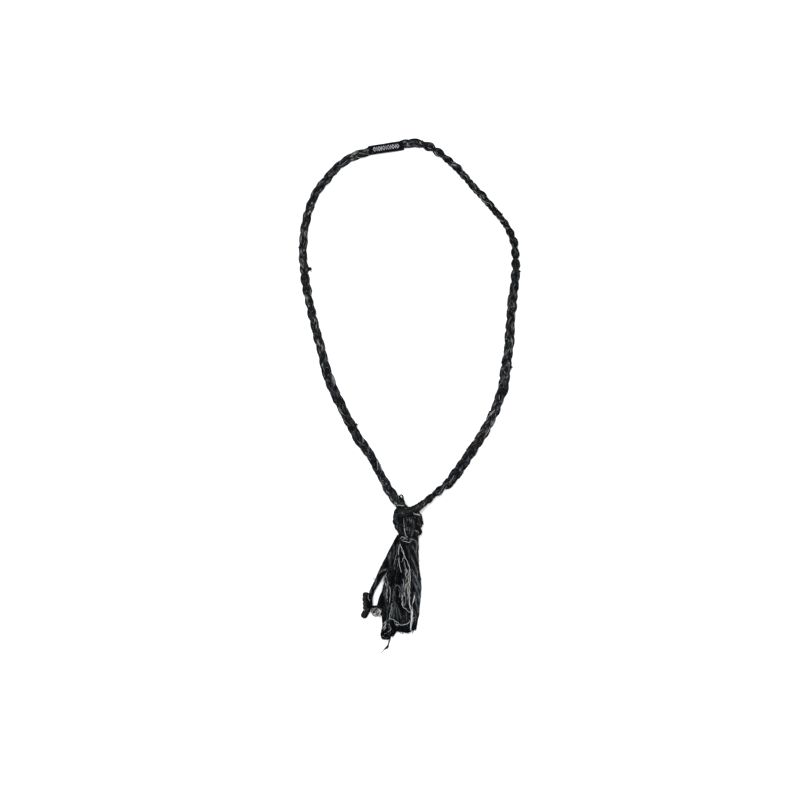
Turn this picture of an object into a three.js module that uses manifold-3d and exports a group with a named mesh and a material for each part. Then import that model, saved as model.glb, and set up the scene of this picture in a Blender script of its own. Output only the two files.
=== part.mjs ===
// Braided cloth necklace, lying flat. Millimetres, +Z up, the surface it lies on is z = 0.
// +Y points to the back of the neck, -Y to the knot and its tassel. The origin is the middle of the outline.
import * as THREE from "three";
import { mergeVertices } from "three/addons/utils/BufferGeometryUtils.js";
import Module from "manifold-3d";

const wasm = await Module();
wasm.setup();

// ---- driving dimensions ----
const CLEARANCE = 0.3; // between pieces that touch
const WELD = 1e-4; // points nearer than this are one point
const ROUND_OFF = 1e-6; // on a unit shape

const BRAID_LOBE = 11; // length of one visible lobe of the plait
const BRAID_STEPS_PER_LOBE = 4;
const BRAID_SIDES = 8;
const BRAID_SWAY = 0.09; // sideways swing of the plait's outline, as a share of its width
const BRAID_STEPS_PER_POINT = 20; // how finely the plait's line is measured between two points of its route

const LABEL_LENGTH = 32;
const LABEL_WIDTH = 8.8;
const LABEL_HEIGHT = 7.6;
const LABEL_WALL = 0.9;
const LABEL_CENTRE = { x: -19.5, y: 223.4 };
const LABEL_TURN = 9; // degrees
const LABEL_END_STEP = 1.1; // how far the tape's overlap stands back at one end
const LABEL_STEP_EDGE = -0.9; // where the step ends, across the label from its middle line

const REACH = 300; // past the necklace on every side

const KNOT_BOTTOM_Y = -125.6; // where the knot stops and the tassel begins
const KNOT_SIDES = 12;

const STRIP_SIDES = 10;
const STRIP_STEPS = 8;
const STRIP_CAP_STEPS = 2;
const STRAND_SIDES = 6;
const STRAND_STEPS = 16;

const COLOURS = { cloth: 0x2e3134, faded: 0x3c4144, label: 0x15171b, strand: 0x24272b };
const FINISH = { roughness: 0.95, metalness: 0 };

// The line of the plait from the knot, up its left side, round the back of the neck and down to the knot.
// columns: x, y, width, height, lift (how far its underside is held up)
const BRAID_ROUTE = [
  [-6.5, -98.5, 9.5, 7.0, 5.0],
  [-15, -88, 9.0, 6.6, 2.4],
  [-25.5, -70, 8.0, 6.6, 0],
  [-33.5, -55, 7.5, 6.6, 0],
  [-47, -35, 8.5, 6.6, 0],
  [-65, 0, 8.5, 6.4, 0],
  [-73.5, 20, 9.0, 6.4, 0],
  [-78.5, 40, 8.0, 6.6, 0],
  [-88.5, 80, 7.5, 6.8, 0],
  [-92.5, 100, 7.5, 6.8, 0],
  [-95.5, 137, 7.5, 6.6, 0],
  [-90.5, 167, 7.0, 6.8, 0],
  [-84, 183, 7.5, 6.6, 0],
  [-75, 195, 7.5, 6.6, 0],
  [-65, 206.5, 7.5, 6.8, 0],
  [-50, 216, 7.5, 6.6, 0],
  [-33, 221.5, 6.5, 5.4, 1.1],
  [-17, 224, 6.5, 5.4, 1.1],
  [5, 228, 7.0, 6.4, 0],
  [17, 225, 6.5, 7.0, 0],
  [30, 217, 6.0, 7.8, 0],
  [45, 203.5, 6.0, 7.8, 0],
  [60, 186.5, 6.0, 8.0, 0],
  [75, 169.5, 5.5, 8.0, 0],
  [88, 153, 5.5, 8.0, 0],
  [94, 139, 6.0, 7.6, 0],
  [95.5, 120, 6.5, 7.2, 0],
  [91.5, 75, 8.5, 6.4, 0],
  [90, 48, 8.0, 6.6, 0],
  [87.5, 30, 8.5, 6.6, 0],
  [84.5, 10, 9.0, 6.4, 0],
  [78, -10, 8.5, 6.6, 0],
  [68, -30, 8.5, 6.6, 0],
  [51.5, -55, 9.0, 6.4, 0],
  [37, -75, 9.0, 6.6, 0],
  [25, -85.5, 6.0, 6.4, 2.4],
  [11, -96.5, 5.5, 6.4, 6.4],
];

// Fat turns of cloth that make up the overhand knot, each a bent tube from one end to the other.
// columns: x, y, z of the start, the middle and the end, then the radius
const KNOT_TURNS = [
  [-5.5, -102, 8, -9.2, -110, 9, -5, -119, 7, 5.4],
  [4.6, -104.5, 9, 7, -111, 8, 5, -120, 7, 5.4],
  [7.4, -100, 11, 1, -106, 13.4, -9, -113, 10, 4.2],
  [-5, -119, 8, 3, -116, 12.4, 8, -119, 8, 4.6],
  [-1.5, -104, 6, -1, -114, 8, -1.4, -126, 7, 8.0],
];

// The strips of the tassel, from the knot to their cut ends.
// columns: x, y, z of the root, the middle and the end, then half the width and half the thickness
const TASSEL_STRIPS = [
  [-5.6, -121, 4.8, -18.2, -152, 3.4, -21.4, -196, 3.2, 4.6, 3.4],
  [-4.4, -122, 9.0, -15.6, -162, 6.8, -20.6, -215.5, 2.8, 4.5, 3.0],
  [-2.6, -121, 10.4, -8.6, -158, 9.2, -13.8, -210.5, 3.8, 4.2, 3.2],
  [-0.6, -121, 6.0, -6.0, -158, 3.8, -8.4, -209, 3.2, 4.4, 3.4],
  [1.2, -122, 10.4, -0.6, -160, 9.2, -2.6, -210.5, 3.2, 3.8, 3.2],
  [3.8, -121, 6.0, 5.2, -158, 3.8, 3.6, -209, 3.0, 3.8, 3.2],
  [4.4, -122, 9.6, 7.4, -158, 6.2, 5.4, -206.5, 3.2, 2.9, 3.2],
  [-18.0, -185.5, 4.0, -24.0, -189, 3.6, -30.0, -193, 2.8, 5.4, 3.0],
];

// The strip that leaves the tassel's left side; its end is rolled into a small knot of its own.
const STRAY_STRIP = [-15.5, -146, 7.6, -27.5, -163, 5.0, -36.0, -180, 3.4, 3.7, 2.6];
const STRAY_KNOT = [-38.0, -179, 3.8, -39.2, -188, 3.6, -39.8, -196.5, 3.3, 3.9, 3.5];

// The loose strand out of the lowest strip end, and the small lump on it.
// columns: x, y, radius
const LOOSE_STRAND = [
  [-17.6, -212.5, 1.1],
  [-18.6, -219.5, 0.9],
  [-19.8, -223.4, 1.5],
  [-21.2, -226.2, 0.8],
  [-25.4, -230.4, 0.6],
];

// ---- shapes ----
const UP = new THREE.Vector3(0, 0, 1);

// A closed geometry stripped to shared positions, ready for a boolean.
function closed(geometry) {
  geometry.deleteAttribute("normal");
  geometry.deleteAttribute("uv");
  return mergeVertices(geometry, WELD);
}

function solidOf(geometry) {
  return new wasm.Manifold(
    new wasm.Mesh({
      numProp: 3,
      vertProperties: Float32Array.from(geometry.attributes.position.array),
      triVerts: Uint32Array.from(geometry.index.array),
    }),
  );
}

function geometryOf(solid) {
  const mesh = solid.getMesh();
  return new THREE.BufferGeometry()
    .setAttribute("position", new THREE.BufferAttribute(mesh.vertProperties, 3))
    .setIndex(new THREE.BufferAttribute(mesh.triVerts, 1));
}

function unite(solids) {
  return solids.reduce((whole, solid) => whole.add(solid));
}

function block(low, high) {
  const size = new THREE.Vector3().subVectors(high, low);
  const box = new THREE.BoxGeometry(size.x, size.y, size.z);
  box.translate((low.x + high.x) / 2, (low.y + high.y) / 2, (low.z + high.z) / 2);
  return solidOf(closed(box));
}

// Bends an upright geometry, whose y runs from 0 to 1 along the line's length, onto that line. section(row)
// gives the half width and half height at that place between the line's points, and how far the middle is
// pushed sideways. Cloth lies flat where it meets the surface, so nothing reaches below `lowest`.
function bendOnto(geometry, line, section, lowest = 0) {
  const position = geometry.attributes.position;
  const point = new THREE.Vector3();
  const side = new THREE.Vector3();
  const over = new THREE.Vector3();
  for (let i = 0; i < position.count; i++) {
    const along = position.getY(i);
    const share = THREE.MathUtils.clamp(along, 0, 1);
    const tangent = line.getTangentAt(share);
    side.crossVectors(tangent, UP).normalize();
    over.crossVectors(side, tangent).normalize();
    const place = line.getUtoTmapping(share) * (line.points.length - 1);
    const { halfWidth, halfHeight, push = 0 } = section(place, share);
    line.getPointAt(share, point);
    point.addScaledVector(tangent, along - share);
    point.addScaledVector(side, position.getX(i) * halfWidth + push);
    point.addScaledVector(over, position.getZ(i) * halfHeight);
    position.setXYZ(i, point.x, point.y, Math.max(point.z, lowest));
  }
  return solidOf(closed(geometry));
}

// A round-ended bar of cloth bent through three points, widened all round by `grow`.
function clothBar([x0, y0, z0, x1, y1, z1, x2, y2, z2, halfWidth, halfHeight = halfWidth], sides, grow = 0) {
  const line = new THREE.CatmullRomCurve3([
    new THREE.Vector3(x0, y0, z0),
    new THREE.Vector3(x1, y1, z1),
    new THREE.Vector3(x2, y2, z2),
  ]);
  const capLength = Math.min(halfWidth, halfHeight) + grow;
  const capsule = new THREE.CapsuleGeometry(1, 1, STRIP_CAP_STEPS, sides, STRIP_STEPS);
  const position = capsule.attributes.position;
  // The middle runs from -0.5 to 0.5 and becomes 0 to 1; a cap sticks out by its own length.
  for (let i = 0; i < position.count; i++) {
    const y = position.getY(i);
    const past = Math.abs(y) - 0.5;
    if (past <= ROUND_OFF) {
      position.setY(i, y + 0.5);
    } else {
      position.setY(i, y > 0 ? 1 + past * capLength : -past * capLength);
    }
  }
  const section = { halfWidth: halfWidth + grow, halfHeight: halfHeight + grow };
  return bendOnto(capsule, line, () => section, -grow);
}

// A table's row at a place between two of its rows.
function rowAt(table, place) {
  const low = Math.min(Math.floor(place), table.length - 2);
  const next = table[low + 1];
  return table[low].map((value, column) => THREE.MathUtils.lerp(value, next[column], place - low));
}

const braidLine = new THREE.CatmullRomCurve3(
  BRAID_ROUTE.map(([x, y, , height, lift]) => new THREE.Vector3(x, y, lift + height / 2)),
);
braidLine.arcLengthDivisions = BRAID_STEPS_PER_POINT * BRAID_ROUTE.length;

// The plait as one tube of its outer form: flat-oval, swinging a little from side to side at each lobe.
function braidSolid(grow = 0) {
  const lobes = Math.round(braidLine.getLength() / BRAID_LOBE);
  const tube = new THREE.CylinderGeometry(1, 1, 1, BRAID_SIDES, lobes * BRAID_STEPS_PER_LOBE);
  tube.rotateY(Math.PI / BRAID_SIDES);
  const position = tube.attributes.position;
  // The middle runs from -0.5 to 0.5 and becomes 0 to 1, and the ends stand `grow` past that.
  for (let i = 0; i < position.count; i++) {
    const y = position.getY(i);
    const isEnd = Math.abs(y) > 0.5 - ROUND_OFF;
    position.setY(i, y + 0.5 + (isEnd ? Math.sign(y) * grow : 0));
  }
  const flats = Math.cos(Math.PI / BRAID_SIDES); // the section's flats, not its corners, measure the size
  const section = (place, share) => {
    const [, , width, height] = rowAt(BRAID_ROUTE, place);
    return {
      halfWidth: width / 2 / flats + grow,
      halfHeight: height / 2 / flats + grow,
      push: width * BRAID_SWAY * Math.cos(2 * Math.PI * lobes * share),
    };
  };
  return bendOnto(tube, braidLine, section, -grow);
}

// The folded tape round the plait: a flat-sided sleeve whose overlap ends in a small step.
function labelSleeve(grow = 0) {
  const outer = block(
    new THREE.Vector3(-LABEL_LENGTH / 2 - grow, -LABEL_WIDTH / 2 - grow, 0),
    new THREE.Vector3(LABEL_LENGTH / 2 + grow, LABEL_WIDTH / 2 + grow, LABEL_HEIGHT + grow),
  );
  const inner = block(
    new THREE.Vector3(-LABEL_LENGTH, -LABEL_WIDTH / 2 + LABEL_WALL + grow, LABEL_WALL + grow),
    new THREE.Vector3(LABEL_LENGTH, LABEL_WIDTH / 2 - LABEL_WALL - grow, LABEL_HEIGHT - LABEL_WALL - grow),
  );
  const step = block(
    new THREE.Vector3(-REACH, -REACH, -REACH),
    new THREE.Vector3(-LABEL_LENGTH / 2 + LABEL_END_STEP, LABEL_STEP_EDGE, REACH),
  );
  const sleeve = grow ? outer.subtract(inner) : outer.subtract(inner).subtract(step);
  return sleeve.rotate([0, 0, LABEL_TURN]).translate([LABEL_CENTRE.x, LABEL_CENTRE.y, 0]);
}

function knotSolid() {
  const turns = unite(KNOT_TURNS.map((turn) => clothBar(turn, KNOT_SIDES)));
  const tasselSide = block(
    new THREE.Vector3(-REACH, -REACH, -REACH),
    new THREE.Vector3(REACH, KNOT_BOTTOM_Y, REACH),
  );
  return turns.subtract(tasselSide).subtract(braidSolid(CLEARANCE));
}

function tasselStrips(grow = 0) {
  return unite(TASSEL_STRIPS.map((strip) => clothBar(strip, STRIP_SIDES, grow)));
}

function tasselSolid() {
  const knotSide = block(
    new THREE.Vector3(-REACH, KNOT_BOTTOM_Y - CLEARANCE, -REACH),
    new THREE.Vector3(REACH, REACH, REACH),
  );
  return tasselStrips().subtract(knotSide);
}

function straySolid() {
  const strip = clothBar(STRAY_STRIP, STRIP_SIDES).add(clothBar(STRAY_KNOT, STRIP_SIDES));
  return strip.subtract(tasselStrips(CLEARANCE));
}

function strandSolid() {
  const line = new THREE.CatmullRomCurve3(
    LOOSE_STRAND.map(([x, y, radius]) => new THREE.Vector3(x, y, radius)),
  );
  const tube = new THREE.CylinderGeometry(1, 1, 1, STRAND_SIDES, STRAND_STEPS);
  tube.translate(0, 0.5, 0);
  const strand = bendOnto(tube, line, (place) => {
    const radius = rowAt(LOOSE_STRAND, place)[2];
    return { halfWidth: radius, halfHeight: radius };
  });
  return strand.subtract(tasselStrips(CLEARANCE));
}

// ---- the necklace ----
function piece(name, solid, color) {
  const material = new THREE.MeshStandardMaterial({ color, ...FINISH });
  const mesh = new THREE.Mesh(geometryOf(solid), material);
  mesh.name = name;
  return mesh;
}

const necklace = new THREE.Group();
necklace.name = "braided_necklace";
necklace.add(piece("braid", braidSolid().subtract(labelSleeve(CLEARANCE)), COLOURS.cloth));
necklace.add(piece("neck_label", labelSleeve(), COLOURS.label));
necklace.add(piece("knot", knotSolid(), COLOURS.cloth));
necklace.add(piece("tassel", tasselSolid(), COLOURS.faded));
necklace.add(piece("stray_strip", straySolid(), COLOURS.cloth));
necklace.add(piece("loose_strand", strandSolid(), COLOURS.strand));

export default necklace;
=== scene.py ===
"""A braided cloth necklace lying flat: a three-strand plait of crumpled strips, a woven label folded round
it at the back of the neck, one big knot at the front, and the strip ends hanging from it as a tassel.

Metres, +Z up, the surface it lies on is z = 0. Tables are in millimetres and are scaled when read."""

import math

import bpy
import numpy as np
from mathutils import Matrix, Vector
from mathutils.bvhtree import BVHTree


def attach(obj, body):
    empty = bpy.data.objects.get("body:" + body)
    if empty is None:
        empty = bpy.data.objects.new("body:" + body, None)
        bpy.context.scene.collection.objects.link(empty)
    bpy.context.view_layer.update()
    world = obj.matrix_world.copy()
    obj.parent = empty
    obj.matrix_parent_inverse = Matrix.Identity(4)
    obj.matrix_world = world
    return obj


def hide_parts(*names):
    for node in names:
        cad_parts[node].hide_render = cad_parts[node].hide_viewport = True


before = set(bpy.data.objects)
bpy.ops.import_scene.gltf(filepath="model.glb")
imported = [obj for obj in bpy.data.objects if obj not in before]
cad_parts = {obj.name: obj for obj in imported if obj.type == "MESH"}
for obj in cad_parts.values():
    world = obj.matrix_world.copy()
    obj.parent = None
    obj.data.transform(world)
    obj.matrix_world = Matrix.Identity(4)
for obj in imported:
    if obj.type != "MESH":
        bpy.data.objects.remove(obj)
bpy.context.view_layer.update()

MM = 0.001
UP = np.array([0.0, 0.0, 1.0])
RESTING = 0.25 * MM  # the lowest that any cloth reaches above the surface


# ---- the plait's line, from the knot up its left side, round the neck and back down ----
# columns: x, y, width, height, lift of its underside, roll in degrees
PLAIT_ROUTE = [
    (-6.5, -98.5, 10, 7.2, 5, 0),
    (-15, -88, 9.5, 6.8, 2.4, 0),
    (-25.5, -70, 8.5, 6.8, 0, 0),
    (-33.5, -55, 8, 6.8, 0, 0),
    (-47, -35, 9, 6.8, 0, 0),
    (-65, 0, 9, 6.6, 0, 0),
    (-73.5, 20, 9.5, 6.6, 0, 0),
    (-78.5, 40, 8.5, 6.8, 0, 0),
    (-88.5, 80, 8, 7, 0, 20),
    (-92.5, 100, 8, 7, 0, 25),
    (-95.5, 137, 8, 6.8, 0, 0),
    (-90.5, 167, 7.5, 7, 0, -10),
    (-84, 183, 8, 6.8, 0, 0),
    (-75, 195, 8, 6.8, 0, 0),
    (-65, 206.5, 8, 7, 0, 0),
    (-50, 216, 8.5, 6.8, 0, 0),
    (-33, 221.5, 7.5, 5.6, 1.1, 0),
    (-17, 224, 7, 5.6, 1.1, 0),
    (5, 228, 8, 6.6, 0, 10),
    (17, 225, 7, 7.2, 0, 40),
    (30, 217, 6, 8, 0, 72),
    (45, 203.5, 6.5, 8, 0, 86),
    (60, 186.5, 6, 8.2, 0, 90),
    (75, 169.5, 6, 8.2, 0, 90),
    (88, 153, 6, 8.2, 0, 84),
    (94, 139, 6.5, 7.8, 0, 70),
    (95.5, 120, 7, 7.4, 0, 40),
    (91.5, 75, 9, 6.6, 0, 0),
    (90, 48, 8.5, 6.8, 0, 0),
    (87.5, 30, 9, 6.8, 0, 0),
    (84.5, 10, 9.5, 6.6, 0, 0),
    (78, -10, 9, 6.8, 0, 0),
    (68, -30, 9, 6.8, 0, 0),
    (51.5, -55, 9.5, 6.6, 0, 0),
    (37, -75, 9.5, 6.8, 0, 30),
    (25, -85.5, 6.5, 6.6, 2.4, 70),
    (11, -96.5, 6, 6.6, 6.4, 80),
]
# where it starts and ends inside the knot; columns: x, y, z, width, height, roll
KNOT_LEFT, KNOT_RIGHT = (-2.4, -104, 9.6, 8, 6.4, 0), (4, -100.6, 10.6, 5.2, 5.6, 84)
PLAIT_PITCH = 32.0  # one strand's way from edge to edge and back
PLAIT_STEP = 0.62  # from one ring of points to the next
STRAND_SIDES = 22
# shares of the plait's width and height: how far a strand swings and rises, and half its own size
SWING, RISE, STRAND_WIDTH, STRAND_THICKNESS = 0.25, 0.27, 0.29, 0.235

# ---- the knot: fat folded turns of the same strips ----
# columns: x, y, z, half width, half thickness, roll in degrees
KNOT_TURNS = [
    (0.10, [  # the core the others close round
        (-3.5, -99, 7, 4.5, 4, 0), (-2.5, -106, 7.6, 6.6, 5.4, 0), (-1, -115, 7.6, 7.4, 5.6, 0),
        (-1, -124, 7.2, 6.6, 5, 0), (-1.5, -131, 6.6, 6.2, 4.4, 0)]),
    (0.34, [  # the smooth end that comes out of the plait on the right and crosses the top
        (26, -84.6, 8.4, 1.2, 1.2, 0), (19, -90.2, 9.4, 2.3, 2.3, 0), (11.5, -96.2, 10.8, 3, 2.9, 0),
        (4.5, -100.6, 12.2, 3.6, 3.2, 0), (-2, -102.4, 13, 4, 3.2, 0), (-8.4, -101.8, 11.8, 3.7, 3.2, -18),
        (-12, -104.6, 8.4, 2.6, 2.8, -30)]),
    (0.05, [  # the front panel with its upright folds
        (-1, -103.5, 11, 4.2, 2.4, 0), (0.8, -108.5, 12.8, 5.6, 3.2, 0), (1.2, -114, 13.4, 6.2, 3.5, 0),
        (0.2, -120, 12.4, 6, 3.4, 0), (-1, -126.5, 10.4, 5, 2.8, 0)]),
    (0.50, [  # a crossing fold at the top of the panel
        (-7.6, -104.4, 11.4, 1.4, 1.2, 0), (-3.6, -106.6, 14.6, 1.8, 1.3, 0),
        (1.6, -107.6, 15.2, 1.9, 1.3, 0), (6.4, -105.2, 12.4, 1.5, 1.2, 0)]),
]
# the plaited turns that stand out at its sides: tone, pitch, rows of x, y, z, half width, half thickness
KNOT_LOBES = [
    (0.62, 13, [
        (-9.6, -100.8, 7.4, 3.6, 3.6), (-10.6, -106, 8.4, 3.9, 4.3), (-10.2, -111.6, 8.8, 4.7, 4.6),
        (-8.6, -116.6, 8.4, 4.4, 4.4), (-5, -121.6, 7.8, 3.6, 3.8), (-1.5, -126, 7.2, 2.8, 3)]),
    (0.20, 11, [
        (3.4, -101.8, 8.4, 3.2, 3.2), (6.6, -105, 9.2, 3.6, 3.8), (8.2, -109.6, 9.6, 4.1, 4.2),
        (8, -114.2, 9.2, 3.7, 4), (6.2, -119.2, 8.6, 3.9, 4), (3.6, -125, 7.4, 3.4, 3.2)]),
    (0.40, 7, [
        (7.8, -110, 8.6, 2.2, 2.4), (10.4, -112, 8.6, 2.5, 2.6), (9.4, -115.6, 8.4, 2, 2.2),
        (6.4, -117.6, 8.4, 1.6, 1.8)]),
]
NECK_WRAPS = [  # the turns round the neck of the tassel, in the columns of the knot's turns
    (0.22, [
        (-9.5, -125, 5.6, 1.4, 1.2, -20), (-5.5, -126.6, 10, 1.9, 1.5, -10), (0, -127.6, 12.2, 2, 1.6, 0),
        (5, -126.8, 10.8, 1.9, 1.5, 10), (8, -124.8, 6.4, 1.3, 1.1, 20)]),
    (0.30, [
        (-8.4, -129.6, 4.6, 1.1, 1, -20), (-4.6, -129.6, 9.4, 1.5, 1.2, -10),
        (0.6, -130.6, 11.6, 1.6, 1.2, 0), (4.6, -129.4, 10, 1.4, 1.1, 10), (7.6, -127.2, 6, 1, 0.9, 20)]),
    (0.16, [  # the small lump low on the right
        (6.4, -118, 9.4, 1.4, 1.5, 0), (9.2, -119.2, 9.2, 2, 1.9, 0), (9.4, -121.6, 8.6, 2, 1.9, 0),
        (7, -123.6, 8, 1.6, 1.5, 0)]),
]

# ---- the tassel's ribbons, from the knot to their raw ends ----
# each ribbon: tone, half thickness, then rows of x, y, z, half width, roll in degrees
TASSEL_RIBBONS = [
    (0.10, 1.5, [  # underneath, left to right
        (-5.6, -122, 5, 3.6, 0), (-11.5, -140, 4.2, 4.4, 8), (-17.4, -157, 3.6, 4.4, 0),
        (-19.4, -166, 3.2, 3.9, -4), (-20.4, -174, 3, 4.3, -6), (-23, -184, 2.8, 5, -6),
        (-24.4, -190.5, 2.8, 5, 0), (-24.8, -196.5, 2.6, 3.4, 0)]),
    (0.16, 1.5, [
        (-2, -122, 4.4, 4.4, 0), (-6.5, -150, 3.4, 5.6, 0), (-11.5, -180, 3, 5.6, 6),
        (-14.6, -206, 2.6, 4.4, 0)]),
    (0.08, 1.5, [
        (2, -122, 4.4, 4.4, 0), (0.4, -150, 3.4, 5.6, -4), (-2.6, -182, 3, 5.8, 0),
        (-4.4, -210.6, 2.6, 4.6, 0)]),
    (0.20, 1.5, [
        (5, -122, 5.4, 3.4, 0), (5.2, -150, 3.6, 3.4, 6), (6.2, -180, 3.2, 4, 0),
        (3.6, -208.5, 2.8, 3.4, 0)]),
    (0.55, 1.2, [  # the lowest end on the left, bent round and blunt
        (-4.4, -121, 9, 3, 10), (-11.4, -143, 7.4, 3.4, 24), (-16.4, -165, 6.4, 3.2, -16),
        (-18.6, -186, 5.6, 3.4, 14), (-18.6, -200, 4.8, 3.9, 8), (-20, -208, 4.2, 4.6, -6),
        (-20.8, -213.5, 3.8, 4.9, 0), (-20.9, -218.2, 3, 3.6, 0)]),
    (0.05, 1.2, [
        (-3, -121, 10.2, 3, -6), (-9, -146, 9.2, 3.6, 10), (-13.8, -166, 7.6, 3.9, -10),
        (-17.4, -184, 6.2, 3.6, 16), (-21.6, -196, 4.6, 3.4, 8), (-21.4, -207, 3.6, 3, 0)]),
    (0.28, 1.1, [
        (-1.6, -121, 11.2, 2.8, 0), (-5.6, -145, 10, 3.6, -14), (-8.8, -165, 8.6, 3.8, 10),
        (-11.2, -188, 6.6, 3.9, -8), (-12.8, -202, 5, 4.1, 0), (-14.4, -209.2, 4, 3.9, 0),
        (-16.4, -215, 3.2, 2.6, 0)]),
    (0.02, 1.2, [
        (0, -121, 11.6, 2.8, 8), (-1.8, -145, 10.4, 3.6, 14), (-4, -168, 8.6, 3.8, -12),
        (-6.4, -190, 6.4, 4.2, 6), (-7.6, -211.2, 4.2, 4.4, 0)]),
    (0.35, 1.1, [
        (1.4, -121, 11.6, 2.6, -8), (1, -145, 10.2, 3.4, 10), (-0.4, -168, 8.4, 3.6, 16),
        (-1.6, -190, 6.2, 3.8, -10), (-2.2, -211.8, 4, 3.9, 0)]),
    (0.12, 1.1, [
        (3.2, -121, 10.6, 2.6, 14), (4, -145, 8.8, 2.8, -10), (4.4, -168, 7.2, 3.2, 12),
        (3.6, -190, 5.4, 3, -8), (1.8, -210, 3.8, 2.8, 0)]),
]
# tone, how far one turn takes, then rows of x, y, z, half width, half thickness
TWISTED_STRIP = (0.30, 29, [
    (4.4, -121, 8.8, 2.6, 2.2), (5.6, -133, 7.4, 3.2, 2.6), (5.8, -150, 6.2, 3.4, 2.6),
    (7.3, -163, 5.6, 4, 2.6), (7.7, -176, 5.2, 3.7, 2.5), (6.2, -190, 4.6, 3.1, 2.3),
    (4.9, -203, 3.8, 2.7, 2.1), (4.4, -209.4, 3.2, 2.3, 1.7)])
STRAY_RIBBON = (0.30, 1.5, [
    (-8.4, -124, 6, 2.4, 0), (-11.4, -131.4, 7, 3.3, 6), (-14.6, -138.4, 7.4, 3.9, 10),
    (-17.2, -144.4, 7.2, 4.2, 14), (-20.4, -150.6, 6.6, 3.8, 4), (-24.6, -157.8, 6, 3.2, -8),
    (-28.8, -165.8, 5, 2.6, 10), (-33.2, -174, 4.4, 2.3, -6), (-34.9, -180, 4.6, 2.1, 6),
    (-35.2, -186, 4.6, 2.4, 0), (-36.8, -191, 4.2, 2.9, 0)])
STRAY_ROLL = (0.40, [  # the strip's end rolled on itself, notched where the turns lie side by side
    (-38, -175.4, 4, 2.8, 2.5, 0), (-38.7, -178.4, 4.2, 3.3, 3, 0), (-38.9, -182, 4.2, 3.2, 3.1, 0),
    (-38.6, -187, 4, 3.1, 3, 0), (-38.6, -191.4, 3.8, 3.2, 2.8, 0)])
STRAY_TIP = (0.14, [
    (-36, -188.6, 3.9, 2.5, 2.4, 0), (-38, -192.2, 3.7, 2.9, 2.7, 0), (-40, -195.4, 3.5, 3.1, 2.9, 0),
    (-41.6, -198.8, 3.2, 2.8, 2.6, 0)])
FRAYED_BUNDLE = [
    (0.22, [(-24.4, -192, 3.4, 2.8, 2.2, 0), (-27.6, -192.4, 3.4, 3.8, 2.7, 0),
            (-31.4, -193, 3.2, 4, 2.7, 0), (-34, -193.6, 3, 3, 2.2, 0)]),
    (0.30, [(-36.2, -186.2, 4.4, 1, 1, 0), (-33.4, -188.2, 5, 1.2, 1.1, 0),
            (-30, -188.4, 5.4, 1.2, 1.1, 0), (-26.6, -187.2, 5.2, 1.4, 1.2, 0),
            (-23, -185.4, 4.6, 1.4, 1.2, 0)]),
]
LOOSE_STRAND = [  # columns: x, y, z, radius
    (-16.6, -209, 2.8, 1.4), (-17.2, -214, 2.2, 1.3), (-17.8, -218.6, 1.5, 1.05), (-18.4, -221.4, 1.3, 0.7),
    (-19, -223.4, 1.4, 0.9), (-19.8, -225, 1.5, 1.3), (-21, -226, 1.3, 0.9), (-22.2, -227, 0.9, 0.42),
    (-23.4, -228.4, 0.7, 0.3), (-24.6, -229.8, 0.6, 0.26), (-26, -230.8, 0.5, 0.2),
]

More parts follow.
